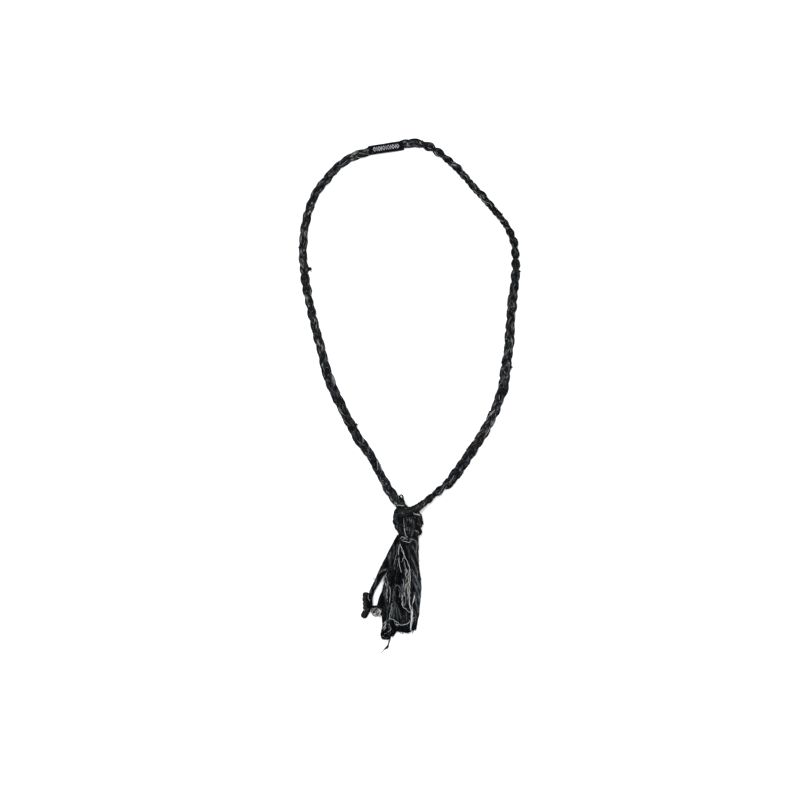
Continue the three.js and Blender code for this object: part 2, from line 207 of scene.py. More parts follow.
# ---- frayed threads, folds with painted highlights and the small pieces that stand out of the plait ----
# where a thread or a fold lies is given from above; it is laid on what it finds there
PALE_THREADS = [  # radius, paleness, and the places it passes over
    # down the tassel from its neck
    (0.32, 1.00, [(-8, -131), (-5.5, -139.5), (-3.5, -144), (-1, -149.5), (0.5, -158), (0.5, -182),
                  (1.5, -193)]),
    (0.28, 0.90, [(-8.5, -132), (-9.5, -138), (-9.5, -144), (-8.5, -150), (-8, -154), (-7, -158)]),
    (0.22, 0.80, [(-5, -141), (-5.5, -144), (-6.5, -148)]),
    (0.24, 0.80, [(-5, -146), (-3.5, -152), (-2, -156), (-3.5, -159), (-1, -162), (-2, -168),
                  (-1.5, -176)]),
    (0.24, 0.75, [(-4.5, -154), (-2, -155.5), (-0.5, -158), (-2.5, -162), (-3, -168), (-4.5, -179)]),
    (0.28, 0.70, [(-5.5, -163), (-5, -175), (-6.5, -182), (-5.5, -188)]),
    (0.22, 0.60, [(-2.5, -165), (-4, -176), (-3, -182), (-4, -188)]),
    (0.25, 0.75, [(-0.5, -160), (-1, -170), (0, -182), (1.5, -190)]),
    (0.24, 0.90, [(-7, -184), (-5, -189), (-2.5, -190.5), (0.5, -193), (3.5, -192)]),
    # on its left
    (0.20, 0.70, [(-19.5, -155), (-20.5, -159), (-20, -164), (-19, -169), (-19.5, -176)]),
    (0.18, 0.70, [(-21, -159), (-22.5, -164.5), (-20, -169.5), (-20, -175)]),
    (0.24, 0.60, [(-18, -169), (-17, -174), (-17, -180), (-18, -185)]),
    (0.22, 0.60, [(-9.5, -172), (-8.5, -176), (-8.5, -180)]),
    (0.30, 0.70, [(-10.5, -183), (-9, -183.5)]),
    (0.34, 0.60, [(-15.5, -185), (-16.5, -192), (-17.5, -197), (-18.5, -200)]),
    (0.24, 0.70, [(-37, -177), (-37, -180), (-35.5, -183.5)]),
    (0.28, 0.70, [(-42, -192.5), (-39.5, -190.5)]),
    # across the low end and on the lowest strip
    (0.28, 0.90, [(-18, -199), (-15, -199.5), (-12, -201), (-9, -203.5), (-7, -204.5), (-2.5, -204),
                  (1, -200.5)]),
    (0.30, 0.80, [(-25, -208.5), (-22.5, -206.5), (-20, -203)]),
    (0.25, 0.70, [(-23.5, -210), (-20.5, -206)]),
    (0.28, 0.70, [(-23.5, -204), (-20.5, -200.5)]),
    (0.24, 0.50, [(-16.5, -204), (-17, -209.5), (-19.5, -211.5)]),
    (0.60, 1.00, [(-12.5, -204.5), (-11, -205), (-9.5, -204)]),
    (0.45, 0.90, [(-18.5, -203.5), (-17.5, -205.5)]),
    # out of the cut ends
    (0.20, 0.60, [(-1.5, -212), (-0.5, -214.5), (0, -217)]),
    (0.20, 0.50, [(3.5, -210.5), (5.5, -213)]),
    (0.20, 0.50, [(6, -208.5), (7.5, -211)]),
    (0.34, 1.00, [(-21.5, -226.5), (-24, -229), (-26.5, -230.5)]),
    # out of the white ribbon's right edge
    (0.20, 0.80, [(2.5, -192.5), (4.5, -190.5)]),
    (0.20, 0.70, [(3, -195), (5, -194.5)]),
    (0.20, 0.70, [(2.5, -197.5), (4, -198.5), (5, -197.5)]),
    # on the knot and round the tassel's neck
    (0.27, 0.90, [(-5.5, -108), (-5, -112), (-4.5, -117.5), (-3.5, -122), (-1.5, -126)]),
    (0.24, 0.80, [(2, -109), (1.5, -112)]),
    (0.30, 0.90, [(3.5, -103.5), (5.5, -105), (8, -105.5), (10.5, -107)]),
    (0.22, 0.60, [(5, -104.5), (10, -105.5)]),
    (0.50, 0.60, [(5.5, -119), (7, -121)]),
    (0.50, 0.70, [(7.5, -120), (8.5, -122)]),
    (0.40, 0.55, [(6, -123), (7, -123.5)]),
    (0.50, 0.40, [(4.5, -107.5), (6, -107.5)]),
    (0.24, 0.80, [(-9, -127), (-6, -125.5), (-2, -126)]),
    (0.20, 0.70, [(-7, -128.5), (-4, -127), (-1, -127.5)]),
    (0.25, 0.90, [(-6, -128.5), (-3, -129.5), (-0.5, -130.5), (2.5, -128.5)]),
    (0.28, 0.95, [(-14.5, -97), (-11, -97.5), (-8, -97), (-4, -97)]),
    # beside the label
    (0.26, 0.80, [(-38, 219), (-36.5, 222)]),
    (0.50, 0.90, [(-1.5, 228), (-1.5, 225.5)]),
    (0.40, 0.80, [(9.5, 229.5), (11, 226.5)]),
]
FOLD_HIGHLIGHTS = [  # half width, paleness of its painted highlight, and the places it passes over; the first ones stand up
    (0.75, 0.95, [(-14.2, -184.2), (-14.5, -178.2), (-13.8, -172.2), (-11.6, -168.8), (-8.9, -169.6),
                  (-7.4, -173), (-6.7, -178.2)]),  # the arch low on the left, and what fans out under it
    (0.70, 0.95, [(-13, -183.6), (-13.6, -189), (-15.2, -194.5), (-17.4, -199.5)]),
    (0.70, 0.95, [(-12.6, -185.4), (-11.3, -192), (-10.3, -199.5)]),
    (0.60, 0.80, [(-11.6, -185.5), (-9.6, -190.5), (-7.4, -198.5)]),
    (1.00, 1.35, [(1.6, -126.9), (5.4, -128.3), (7, -131.7), (7.8, -137)]),  # down the right edge
    (1.10, 1.20, [(2.6, -133.2), (4.8, -137.3), (6.7, -141.5), (7.6, -146.6)]),
    (1.05, 1.10, [(1.2, -141.8), (3.9, -147.5), (6.1, -152.7), (7.6, -158.7)]),
    (1.30, 1.40, [(3, -156), (5.5, -161), (8, -166.2), (9.8, -172)]),
    (1.15, 1.30, [(3.9, -164.7), (6.2, -170.7), (8.5, -176.7), (9.4, -182.7)]),
    (1.00, 1.15, [(4.9, -175.7), (6.1, -183.5), (7.6, -189.5), (7.6, -194.7)]),
    (0.75, 0.90, [(5.2, -190.7), (6, -197.7), (5.3, -203.7)]),
    (0.80, 1.30, [(-27.6, -158.2), (-24.4, -155.9), (-20.9, -154.7)]),  # on the stray strip
    (0.60, 0.90, [(-28.9, -160.6), (-29.9, -166), (-31.6, -171.4)]),
    (0.50, 0.80, [(-34, -172.5), (-34.5, -176)]),
    (1.9, 0.34, [(-40.6, -177), (-41, -184), (-40.6, -190)]),
    (1.2, 0.34, [(-41.8, -195.6), (-39.6, -193.4), (-37.6, -190.6)]),
    (0.45, 0.70, [(-12.4, -181.6), (-12.9, -176.6), (-12, -172.2)]),
    (0.55, 0.80, [(-13, -187), (-13.3, -193), (-14.2, -199.5)]),
    (1.10, 0.50, [(-2.2, -133.6), (0.2, -139), (1.7, -145.5)]),
    (0.90, 0.95, [(-16.6, -139.6), (-17.4, -145.2), (-16.8, -152.4)]),
    (0.70, 0.70, [(-13.8, -133.4), (-13.6, -138.5), (-14.5, -144.9)]),
    (0.50, 0.80, [(-14.5, -141.5), (-13.5, -145.5), (-12.5, -142.5), (-10.5, -139.5)]),
    (0.70, 0.80, [(-4.8, -163.7), (-5.4, -172.2), (-6, -179.7), (-4.8, -186.7)]),
    (0.60, 0.70, [(-1.6, -167.7), (-1.4, -176.7), (-2.5, -185.4)]),
    (0.50, 0.80, [(-21.4, -163.7), (-22.4, -173.7), (-21.6, -182), (-19.8, -189.5)]),
    (0.55, 0.80, [(-16.8, -171.2), (-17.2, -179.7), (-18.3, -187.2), (-19.6, -192.7)]),
    (1.50, 0.45, [(-2.2, -190.4), (-3, -195.4), (-3.6, -200.8)]),
    (0.45, 0.70, [(-10.8, -133.1), (-10.9, -139.5), (-11.8, -146.7), (-13.1, -153.9)]),
]
RAISED = 14  # how many of them stand up
KNOT_HIGHLIGHTS = [  # the same painted fold highlights, on the knot
    (0.9, 0.60, [(-3, -109), (0, -109.5)]), (0.7, 0.50, [(-11.8, -104.6), (-10.6, -107.6)]),
    (0.8, 0.45, [(-12.2, -110.2), (-10.4, -112.4)]), (0.7, 0.40, [(-9.6, -115.6), (-7.8, -118.4)]),
    (0.8, 0.45, [(3.6, -103.4), (6.4, -105), (9.2, -106)]), (0.7, 0.40, [(8.6, -110.6), (10.4, -112.4)]),
    (0.8, 0.45, [(4.8, -118.6), (7, -121.2)]), (0.7, 0.50, [(7.6, -119.8), (8.6, -122.2)]),
    (2.2, 0.20, [(1.6, -109.6), (2.2, -115), (1.6, -120)]), (0.8, 0.25, [(-3, -112), (-3.2, -118)]),
    (1.3, 0.30, [(2.6, -117.6), (4.6, -120.4)]), (0.9, 0.40, [(-13.2, -106.4), (-12.6, -109.2)]),
    (2.6, 0.26, [(-8.6, -101.8), (-1, -102), (6.2, -99.6), (13, -95.2)]),
    (1, 0.32, [(-6.4, -101.4), (-1, -101.8), (4.2, -100.4)]),
]
PLAIT_HIGHLIGHTS = [  # the same painted fold highlights, on the plait
    (2.3, 0.55, [(83.2, 20.5), (85.2, 16.5), (86.4, 12)]), (1.4, 0.66, [(-2.5, 228), (2, 229), (7, 228)]),
    (1.5, 0.40, [(-94.4, 158.4), (-94.4, 154.4), (-94.4, 149.6)]),
    (1.1, 0.50, [(-73.8, 197.6), (-70.4, 200.6), (-67.4, 203.4)]),
    (1.4, 0.40, [(-87, 175.4), (-84.4, 179.8), (-81.6, 183.4)]),
    (0.9, 0.34, [(74.2, -10), (76.6, -13), (78.6, -16.4)]),
    (0.8, 0.34, [(68.4, -19), (70.4, -21.6), (71.8, -24.8)]),
    (0.8, 0.36, [(64.6, -31.6), (67, -32.6), (69, -34)]),
    (1.1, 0.38, [(50.4, -57.4), (47.8, -61.4), (44.4, -65)]),
    (1, 0.50, [(29.4, -81.4), (25.2, -85), (20.6, -88.8)]),
    (1.2, 0.45, [(-96.4, 133.6), (-95.6, 128.6), (-94.6, 124.4)]),
    (1.2, 0.45, [(-88.6, 75), (-87, 70.4), (-86, 66)]),
    (1.1, 0.45, [(91.2, 88), (91.8, 83.4), (92.4, 79.4)]),
    (1.1, 0.42, [(88.4, 55), (89.4, 50.6), (90.6, 46.4)]),
]
FRAYED_STRETCHES = [  # from and to along the plait from the knot's left, how many worn places, how pale
    (10, 115, 10, 0.50), (115, 180, 12, 0.60), (190, 235, 6, 0.45), (235, 305, 19, 0.58),
    (305, 372, 16, 0.62), (400, 428, 7, 0.70), (432, 505, 8, 0.58), (520, 560, 4, 0.50),
    (585, 655, 22, 0.60), (655, 725, 22, 0.57), (725, 805, 17, 0.55),
]
NETS = [  # how many crinkled threads, how crinkled, and x, y, half width of the band they wander down
    (2, 0.25, [(-5.4, -137, 0.5), (-4.6, -142, 1), (-3.6, -147, 1.6)]),
    (5, 0.60, [(-3.8, -147, 2), (-2.4, -153, 3.2), (-1.8, -158, 3), (-2.6, -164, 3.4)]),
    (2, 0.30, [(-4.6, -160, 1.3), (-5.2, -168, 1.5), (-5.8, -178, 1.6), (-4.9, -187, 1.1)]),
    (2, 0.30, [(-0.6, -158, 1.9), (-0.3, -168, 1.9), (-0.8, -178, 1.7), (0.6, -190, 1.2)]),
    (2, 0.30, [(-20.6, -156, 1.2), (-20.6, -166, 2), (-19, -178, 1.8), (-18.4, -190, 1.4)]),
    (5, 0.40, [(2.4, -188, 0.8), (2.4, -194, 1.6), (2.2, -199, 1.4), (1.5, -209, 0.9)]),
    (4, 0.40, [(-17.6, -198, 1.8), (-21.4, -202, 2.4), (-23, -208, 2.2)]),
    (3, 0.40, [(-13, -200, 1), (-11, -204, 2.4), (-9.4, -206, 1.6)]),
]
WHITE_RIBBON = [  # columns: x, y, half width
    (4.9, -177, 0.14), (4.5, -179.6, 0.40), (3.8, -183, 0.44), (3, -185.6, 0.14), (2.6, -189.6, 0.12),
    (2.4, -192.2, 0.70), (2.9, -194.8, 0.95), (2.2, -197.4, 0.62), (2.5, -199.6, 0.86), (1.8, -202.2, 0.50),
    (1.6, -205.6, 0.58), (1.3, -209.6, 0.46),
]
TUFTS = [  # columns: x, y, the way it points in degrees, how far it comes out, half width
    (12.6, 229.6, 75, 1.5, 1.5), (44.5, 207.6, 48, 1.8, 1.3), (67.4, 181.4, 42, 1.8, 1.2),
    (83.6, 164, 40, 1.5, 1.2), (84.6, 153.6, 215, 1.4, 1.1), (99.4, 112.4, 0, 1.4, 1.3),
    (-89.6, 114.6, 15, 3, 1.9), (-49.6, -25.4, 205, 1.3, 1.2), (-30, -55.6, 25, 1.4, 1.1),
    (35.2, -81.4, -45, 2, 1.5), (-85.5, 185, 150, 1.5, 2.4), (-99.4, 134.8, 185, 1, 1.1),
    (94.2, 56.2, 0, 1.4, 1.2), (83.4, 31.6, 185, 1.5, 1.4), (92, 26.6, -10, 1.6, 1.4),
    (72.4, -13.2, 165, 1.6, 1.4), (52.2, -46.6, 150, 1.5, 1.4), (53.6, -58.2, -35, 1.5, 1.3),
]
HAIR_TUFTS = [  # columns: x, y, the way they point in degrees, how many, how long
    (-93.6, 165.4, 170, 7, 3.4), (-88.4, 113.4, -60, 6, 3), (31, -78, 100, 6, 2.6),
    (20, -90.6, -50, 4, 2.4), (11, -107, 10, 5, 2.4), (10.6, -120.6, -20, 5, 2.2),
    (-31.4, -163.4, 150, 4, 2.2),
]
SMALL_LOOP = [  # columns: x, y, z, radius: a loop of cord beside the plait's left end
    (-9.6, -98.4, 9, 0.5), (-9.2, -94.6, 8.8, 0.5), (-8.9, -91, 8, 0.45), (-8.5, -88.9, 7.4, 0.5),
    (-7.4, -87.8, 7, 0.62), (-6.1, -88.6, 7, 0.7), (-5.5, -91, 7.2, 0.72), (-5.5, -94.2, 7.8, 0.75),
    (-4.4, -97.4, 8.8, 0.8), (-3, -100.2, 9.6, 0.6),
]

LABEL = {
    "length": 31.6, "width": 8.4, "height": 7.4, "cloth": 0.5, "centre": (-20.7, 223.7), "turn": 8.6,
    "overlap": 0.16,  # share of the tape's girth that lies double
    "first": -118,  # where round the plait the tape starts, in degrees
    "squareness": 3.4,  # 2 would make its section an oval
    "rings": 80, "around": 90,
}
LOZENGES = {"count": 6, "first": -10.5, "pitch": 4.2, "half_length": 1.2, "half_width": 1.8}
SEAMS = {"left": -15, "right": 14.9, "hem": 3.5, "across": 3.2}
BUNDLE_CURLS = {"core": (-32.6, -193), "middle": (-29.8, -192.9), "reach": (5, 4.6), "count": 60}
TORN_OVER = 5  # the length of a strip's end that is pulled out raggedly
CRINKLE = 0.38  # how far a frayed thread wanders off its line
FINER = 0.56  # the pale threads are this much finer than their table says
RUBBED_BESIDE, RUBBED_SHARE = 0.4, 0.72  # how far round a worn place the cloth is rubbed, and how pale
FRINGE_THREADS, FRINGE_LENGTH = 7, 2.4  # at each raw end of the tassel
HAIR, EDGE_THREAD, PLAIT_THREAD = 0.09, 0.11, 0.12  # radii
PLAIT_THREADS = 62  # along each strand


# ---- numbers along a line ----
FINE_PER_ROW = 12  # places per row of a table at which a smooth line's length is taken
FEWEST_POINTS = 6


def hermite(knots, values, at):
    """A smooth run of values through the knots, read at the places asked for."""
    knots, values = np.asarray(knots, float), np.asarray(values, float)
    gap = np.diff(knots)
    steep = np.diff(values, axis=0) / gap[:, None]
    slope = np.concatenate([steep[:1], steep, steep[-1:]])
    near, far = np.concatenate([gap[:1], gap]), np.concatenate([gap, gap[-1:]])
    slope = (slope[:-1] * far[:, None] + slope[1:] * near[:, None]) / (near + far)[:, None]
    i = np.clip(np.searchsorted(knots, at, side="right") - 1, 0, len(gap) - 1)
    t = ((at - knots[i]) / gap[i])[:, None]
    h = gap[i][:, None]
    return (
        values[i] * (1 + 2 * t) * (1 - t) ** 2 + slope[i] * h * t * (1 - t) ** 2
        + values[i + 1] * t * t * (3 - 2 * t) + slope[i + 1] * h * t * t * (t - 1)
    )


def along_of(points):
    """How far each point is along the line."""
    return np.concatenate([[0.0], np.cumsum(np.linalg.norm(np.diff(points, axis=0), axis=1))])


def run(rows, step):
    """A table's rows as a smooth line with a point every step: its points, and its other columns."""
    rows = np.array(rows, float)
    knots = along_of(rows[:, :3])
    fine = hermite(knots, rows, np.linspace(0, knots[-1], FINE_PER_ROW * len(rows)))
    length = along_of(fine[:, :3])
    even = np.linspace(0, length[-1], max(FEWEST_POINTS, int(length[-1] / step) + 1))
    table = np.stack([np.interp(even, length, column) for column in fine.T], axis=1)
    return table[:, :3], table[:, 3:]


def unit(vectors):
    """Each vector at length one."""
    return vectors / np.maximum(np.linalg.norm(vectors, axis=-1, keepdims=True), 1e-12)


def frames(points, roll=0.0):
    """The direction along the line at each point, and the two across it, rolled by that many degrees."""
    ahead = unit(np.gradient(points, axis=0))
    side = unit(np.cross(UP, ahead))
    over = np.cross(ahead, side)
    turn = np.radians(np.broadcast_to(roll, len(points)))[:, None]
    return ahead, side * np.cos(turn) + over * np.sin(turn), over * np.cos(turn) - side * np.sin(turn)


def drift(along, wavelength, seed):
    """A slow wander between -1 and 1 along a line."""
    count = int(along[-1] / wavelength) + 4
    marks = np.random.default_rng(seed).uniform(-1, 1, (count, 1))
    return hermite(np.arange(count) * wavelength, marks, along)[:, 0]


def new_seed(rng):
    """A drift's own seed, drawn from the threads' random numbers."""
    return rng.integers(1 << 30)


def rounded(along, low, high):
    """A factor that closes a strip off roundly over its first and last lengths."""
    start = np.clip(along / max(low, 1e-9), 0, 1)
    end = np.clip((along[-1] - along) / max(high, 1e-9), 0, 1)
    return np.sqrt(1 - (1 - start) ** 2 + 1e-4) * np.sqrt(1 - (1 - end) ** 2 + 1e-4)


# ---- node trees ----
class Flow:
    """A value on its way through a node tree. Arithmetic on it places the Math nodes."""

    def __init__(self, tree, socket):
        self.tree, self.socket = tree, socket

    def maths(self, operation, *others):
        vector = self.socket.type == "VECTOR"
        made = self.tree.nodes.new("ShaderNodeVectorMath" if vector else "ShaderNodeMath")
        made.operation = operation
        for slot, value in zip(made.inputs, (self, *others)):
            fill(self.tree, slot, value)
        return Flow(self.tree, made.outputs[0])

    def __add__(self, other):
        return self.maths("ADD", other)

    def __sub__(self, other):
        return self.maths("SUBTRACT", other)

    def __mul__(self, other):
        return self.maths("MULTIPLY", other)

    def __truediv__(self, other):
        return self.maths("DIVIDE", other)

    def scaled(self, factor):
        made = place(self.tree, "ShaderNodeVectorMath", operation="SCALE")
        fill(self.tree, made.inputs[0], self)
        fill(self.tree, made.inputs["Scale"], factor)
        return Flow(self.tree, made.outputs[0])

    def between(self, low, high, to_low=0.0, to_high=1.0):
        """The value's place between low and high, eased, as to_low to to_high."""
        made = place(self.tree, "ShaderNodeMapRange", {"Value": self}, interpolation_type="SMOOTHSTEP")
        for name, value in zip(("From Min", "From Max", "To Min", "To Max"), (low, high, to_low, to_high)):
            fill(self.tree, made.inputs[name], value)
        return Flow(self.tree, made.outputs[0])

    def part(self, axis):
        made = place(self.tree, "ShaderNodeSeparateXYZ", {0: self})
        return Flow(self.tree, made.outputs[axis])


def fill(tree, socket, value):
    """Wires a flow into a socket, or writes a plain value on it."""
    if isinstance(value, Flow):
        tree.links.new(value.socket, socket)
    elif isinstance(value, bpy.types.Node):
        tree.links.new(value.outputs[0], socket)
    else:
        socket.default_value = value


def place(tree, kind, inputs=None, **settings):
    """A new node with its settings made and its inputs filled, by name or number."""
    made = tree.nodes.new(kind)
    for name, value in settings.items():
        setattr(made, name, value)
    for name, value in (inputs or {}).items():
        fill(tree, made.inputs[name], value)
    return made


def out(node, name=0):
    """A node's output as a flow."""
    return Flow(node.id_data, node.outputs[name])


def xyz(tree, x, y, z=0.0):
    """Three flows or numbers as one vector."""
    return out(place(tree, "ShaderNodeCombineXYZ", {0: x, 1: y, 2: z}))


def noise(tree, vector, scale=1.0, detail=2.0, roughness=0.5, distortion=0.0):
    """Smooth noise around one half."""
    return out(place(tree, "ShaderNodeTexNoise", {
        "Vector": vector, "Scale": scale, "Detail": detail, "Roughness": roughness,
        "Distortion": distortion}))


def new_tree(name, kind, inputs, outputs):
    """An empty node tree: the tree, its named inputs as flows, and its output node."""
    tree = bpy.data.node_groups.new(name, kind)
    for title, socket, value in inputs:
        made = tree.interface.new_socket(name=title, in_out="INPUT", socket_type=socket)
        if value is not None:
            made.default_value = value
    for title, socket in outputs:
        tree.interface.new_socket(name=title, in_out="OUTPUT", socket_type=socket)
    start, end = tree.nodes.new("NodeGroupInput"), tree.nodes.new("NodeGroupOutput")
    return tree, {title: Flow(tree, start.outputs[title]) for title, _, _ in inputs}, end


NUMBER, WHOLE, VECTOR = "NodeSocketFloat", "NodeSocketInt", "NodeSocketVector"
SHAPE, FINISH = "NodeSocketGeometry", "NodeSocketMaterial"


def named(tree, name, kind="FLOAT"):
    """One of the line's own attributes."""
    return out(place(tree, "GeometryNodeInputNamedAttribute", {"Name": name}, data_type=kind))


def stored(tree, shape, name, value, kind="FLOAT"):
    """The shape with one more point attribute on it."""
    return out(place(tree, "GeometryNodeStoreNamedAttribute", {
        "Geometry": shape, "Name": name, "Value": value}, data_type=kind, domain="POINT"))


def finished(tree, shape, given, end):
    """Closes a geometry tree: instances made real, smooth faces, and the material on them."""
    real = place(tree, "GeometryNodeRealizeInstances", {0: shape})
    smooth = place(tree, "GeometryNodeSetShadeSmooth", {0: real})
    coated = place(tree, "GeometryNodeSetMaterial", {0: smooth, "Material": given["Material"]})
    tree.links.new(coated.outputs[0], end.inputs[0])


def rested(tree, position):
    """A position held above the surface that the necklace lies on."""
    return xyz(tree, position.part(0), position.part(1), position.part(2).maths("MAXIMUM", RESTING))


def cloth_strip_tree():
    """Sweeps a strip of crumpled cloth along each line: rings of points, pleated along its length."""
    tree, given, end = new_tree("cloth strip", "GeometryNodeTree", [
        ("Geometry", SHAPE, None), ("Sides", WHOLE, 22),
        ("Pleats", NUMBER, 1.6), ("Pleat Depth", NUMBER, 0.5 * MM), ("Pleat Length", NUMBER, 14 * MM),
        ("Twist", NUMBER, 40.0), ("Waves", NUMBER, 2.0), ("Wave Height", NUMBER, 0.0),
        ("Wave Length", NUMBER, 22 * MM), ("Crumple Size", NUMBER, 2.4 * MM),
        ("Crumple Depth", NUMBER, 0.3 * MM),
        ("Ragged Edge", NUMBER, 0.0), ("Seed", NUMBER, 0.0),
        ("Material", FINISH, None)], [("Geometry", SHAPE)])
    line = out(place(tree, "GeometryNodeMeshToCurve", {0: given["Geometry"]}))
    line = stored(tree, line, "centre", out(place(tree, "GeometryNodeInputPosition")), "FLOAT_VECTOR")
    circle = out(place(tree, "GeometryNodeCurvePrimitiveCircle", {
        "Resolution": given["Sides"], "Radius": 1.0}))
    spot = out(place(tree, "GeometryNodeInputPosition"))
    # the ring starts underneath, so the seam of its map is out of sight
    circle = stored(tree, circle, "ring", xyz(tree, spot.part(1), spot.part(0) * -1.0), "FLOAT_VECTOR")
    count = out(place(tree, "GeometryNodeInputIndex")) / given["Sides"]
    circle = stored(tree, circle, "turn", count)
    made = place(tree, "GeometryNodeCurveToMesh", {
        "Curve": line, "Profile Curve": circle, "Fill Caps": True})

    ring, along, tone = named(tree, "ring", "FLOAT_VECTOR"), named(tree, "along"), named(tree, "tone")
    across, over = named(tree, "across", "FLOAT_VECTOR"), named(tree, "over", "FLOAT_VECTOR")
    seed = given["Seed"] + tone * 71.0
    turned = out(place(tree, "ShaderNodeVectorRotate", {
        "Vector": ring, "Angle": along * given["Twist"] + seed}, rotation_type="Z_AXIS"))
    pleat = turned.scaled(given["Pleats"]) + xyz(tree, seed, seed, along / given["Pleat Length"])
    pleat = noise(tree, pleat, 1.0, 1.2, 0.45).maths("SUBTRACT", 0.5).maths("ABSOLUTE") * 3.2
    pleat = pleat.maths("MINIMUM", 1.0)
    wave = xyz(tree, ring.part(0) * given["Waves"] + seed, seed * 0.37, along / given["Wave Length"])
    wave = noise(tree, wave, 1.0, 1.0, 0.4, 0.5) - 0.5
    half_width, half_thickness = named(tree, "half_width"), named(tree, "half_thickness")
    fullness = named(tree, "fullness")
    own = xyz(tree, ring.part(0) * half_width, ring.part(1) * half_thickness, along)
    crumple = noise(tree, own / given["Crumple Size"] + xyz(tree, seed, 0.0, seed), 1.0, 2.5, 0.55) - 0.5
    ragged = xyz(tree, ring.part(0).maths("SIGN") * 9.0 + seed, seed, along / (1.3 * MM))
    ragged = (noise(tree, ragged, 1.0, 2.0, 0.6) - 0.5) * ring.part(0).maths("POWER", 2.0)
    out_by = pleat * given["Pleat Depth"] + crumple * given["Crumple Depth"] - given["Pleat Depth"] * 0.45
    out_by = out_by * fullness
    width = ring.part(0) * (half_width + ragged * given["Ragged Edge"])
    lift = ring.part(1) * half_thickness + wave * given["Wave Height"] * fullness
    away = (across.scaled(ring.part(0)) + over.scaled(ring.part(1))).maths("NORMALIZE")
    torn = named(tree, "pull", "FLOAT_VECTOR").scaled(
        noise(tree, xyz(tree, ring.part(0) * 4.0 + seed, seed, ring.part(1) * 0.6), 1.0, 2.0) - 0.5)
    position = (named(tree, "centre", "FLOAT_VECTOR") + across.scaled(width) + over.scaled(lift)
                + away.scaled(out_by) + torn)
    moved = place(tree, "GeometryNodeSetPosition", {"Geometry": made, "Position": rested(tree, position)})
    ridge = pleat + crumple * 0.6 + wave * 0.7
    shape = stored(tree, moved, "ridge", ridge)
    shape = stored(tree, shape, "edge", ring.part(0).maths("ABSOLUTE"))
    finished(tree, shape, given, end)
    return tree


def fibre_tree():
    """Scatters fine bent fibres over a surface, standing out from it every which way."""
    tree, given, end = new_tree("loose fibres", "GeometryNodeTree", [
        ("Geometry", SHAPE, None), ("Density", NUMBER, 100000.0), ("Length", NUMBER, 3 * MM),
        ("Radius", NUMBER, 0.05 * MM), ("Lean", NUMBER, 1.2), ("Seed", WHOLE, 0),
        ("Material", FINISH, None)],
        [("Geometry", SHAPE)])
    spots = place(tree, "GeometryNodeDistributePointsOnFaces",
                  {"Mesh": given["Geometry"], "Density": given["Density"], "Seed": given["Seed"]})
    length = given["Length"]
    bend = place(tree, "GeometryNodeCurveQuadraticBezier", {
        "Resolution": 5, "Start": xyz(tree, 0.0, 0.0, length * -0.12),
        "Middle": xyz(tree, 0.0, 0.0, length * 0.6),
        "End": xyz(tree, length * 0.55, length * 0.1, length * 0.8)})
    ring = place(tree, "GeometryNodeCurvePrimitiveCircle", {"Resolution": 3, "Radius": given["Radius"]})
    fibre = place(tree, "GeometryNodeCurveToMesh", {
        "Curve": bend, "Profile Curve": ring, "Fill Caps": True})
    lean = place(tree, "FunctionNodeRandomValue", {"Seed": given["Seed"]}, data_type="FLOAT_VECTOR")
    lean.inputs[0].default_value, lean.inputs[1].default_value = (-1.0, -1.0, -3.14), (1.0, 1.0, 3.14)
    lean = out(lean).maths("MULTIPLY", xyz(tree, given["Lean"], given["Lean"], 1.0))
    lean = place(tree, "FunctionNodeEulerToRotation", {0: lean})
    facing = place(tree, "FunctionNodeRotateRotation", {0: out(spots, "Rotation"), 1: lean},
                   rotation_space="LOCAL")
    size = place(tree, "FunctionNodeRandomValue", {"Seed": given["Seed"]}, data_type="FLOAT")
    low, high = [socket for socket in size.inputs if socket.enabled and socket.type == "VALUE"][:2]
    low.default_value, high.default_value = 0.35, 1.25
    spread = place(tree, "GeometryNodeInstanceOnPoints", {
        "Points": out(spots, "Points"), "Instance": fibre, "Rotation": facing, "Scale": out(size, 1)})
    real = place(tree, "GeometryNodeRealizeInstances", {0: spread})
    held = place(tree, "GeometryNodeSetPosition", {
        "Geometry": real, "Position": rested(tree, out(place(tree, "GeometryNodeInputPosition")))})
    finished(tree, held, given, end)
    return tree


def stitch_tree():
    """Lays satin stitches side by side along each line, slanted across it."""
    tree, given, end = new_tree("stitches", "GeometryNodeTree", [
        ("Geometry", SHAPE, None), ("Pitch", NUMBER, 0.4 * MM), ("Length", NUMBER, 0.9 * MM),
        ("Thickness", NUMBER, 0.2 * MM), ("Slant", NUMBER, 0.4),
        ("Material", FINISH, None)], [("Geometry", SHAPE)])
    line = place(tree, "GeometryNodeMeshToCurve", {0: given["Geometry"]})
    spots = place(tree, "GeometryNodeResampleCurve", {
        "Curve": line, "Length": given["Pitch"]}, mode="LENGTH")
    ball = place(tree, "GeometryNodeMeshUVSphere", {"Segments": 8, "Rings": 5, "Radius": 0.5})
    facing = place(tree, "FunctionNodeAlignRotationToVector", {
        "Vector": out(place(tree, "GeometryNodeInputTangent"))}, axis="X", pivot_axis="Z")
    slant = place(tree, "FunctionNodeEulerToRotation", {0: xyz(tree, 0.0, 0.0, given["Slant"])})
    facing = place(tree, "FunctionNodeRotateRotation", {0: facing, 1: slant}, rotation_space="LOCAL")
    spread = place(tree, "GeometryNodeInstanceOnPoints", {
        "Points": spots, "Instance": ball, "Rotation": facing,
        "Scale": xyz(tree, given["Thickness"], given["Length"], given["Thickness"])})
    finished(tree, out(spread), given, end)
    return tree


# ---- pieces ----
def piece_of(name, points, faces=(), edges=()):
    """A new mesh object at the origin."""
    mesh = bpy.data.meshes.new(name)
    mesh.from_pydata([tuple(p) for p in points], [tuple(e) for e in edges], [tuple(f) for f in faces])
    mesh.update()
    made = bpy.data.objects.new(name, mesh)
    bpy.context.scene.collection.objects.link(made)
    return made


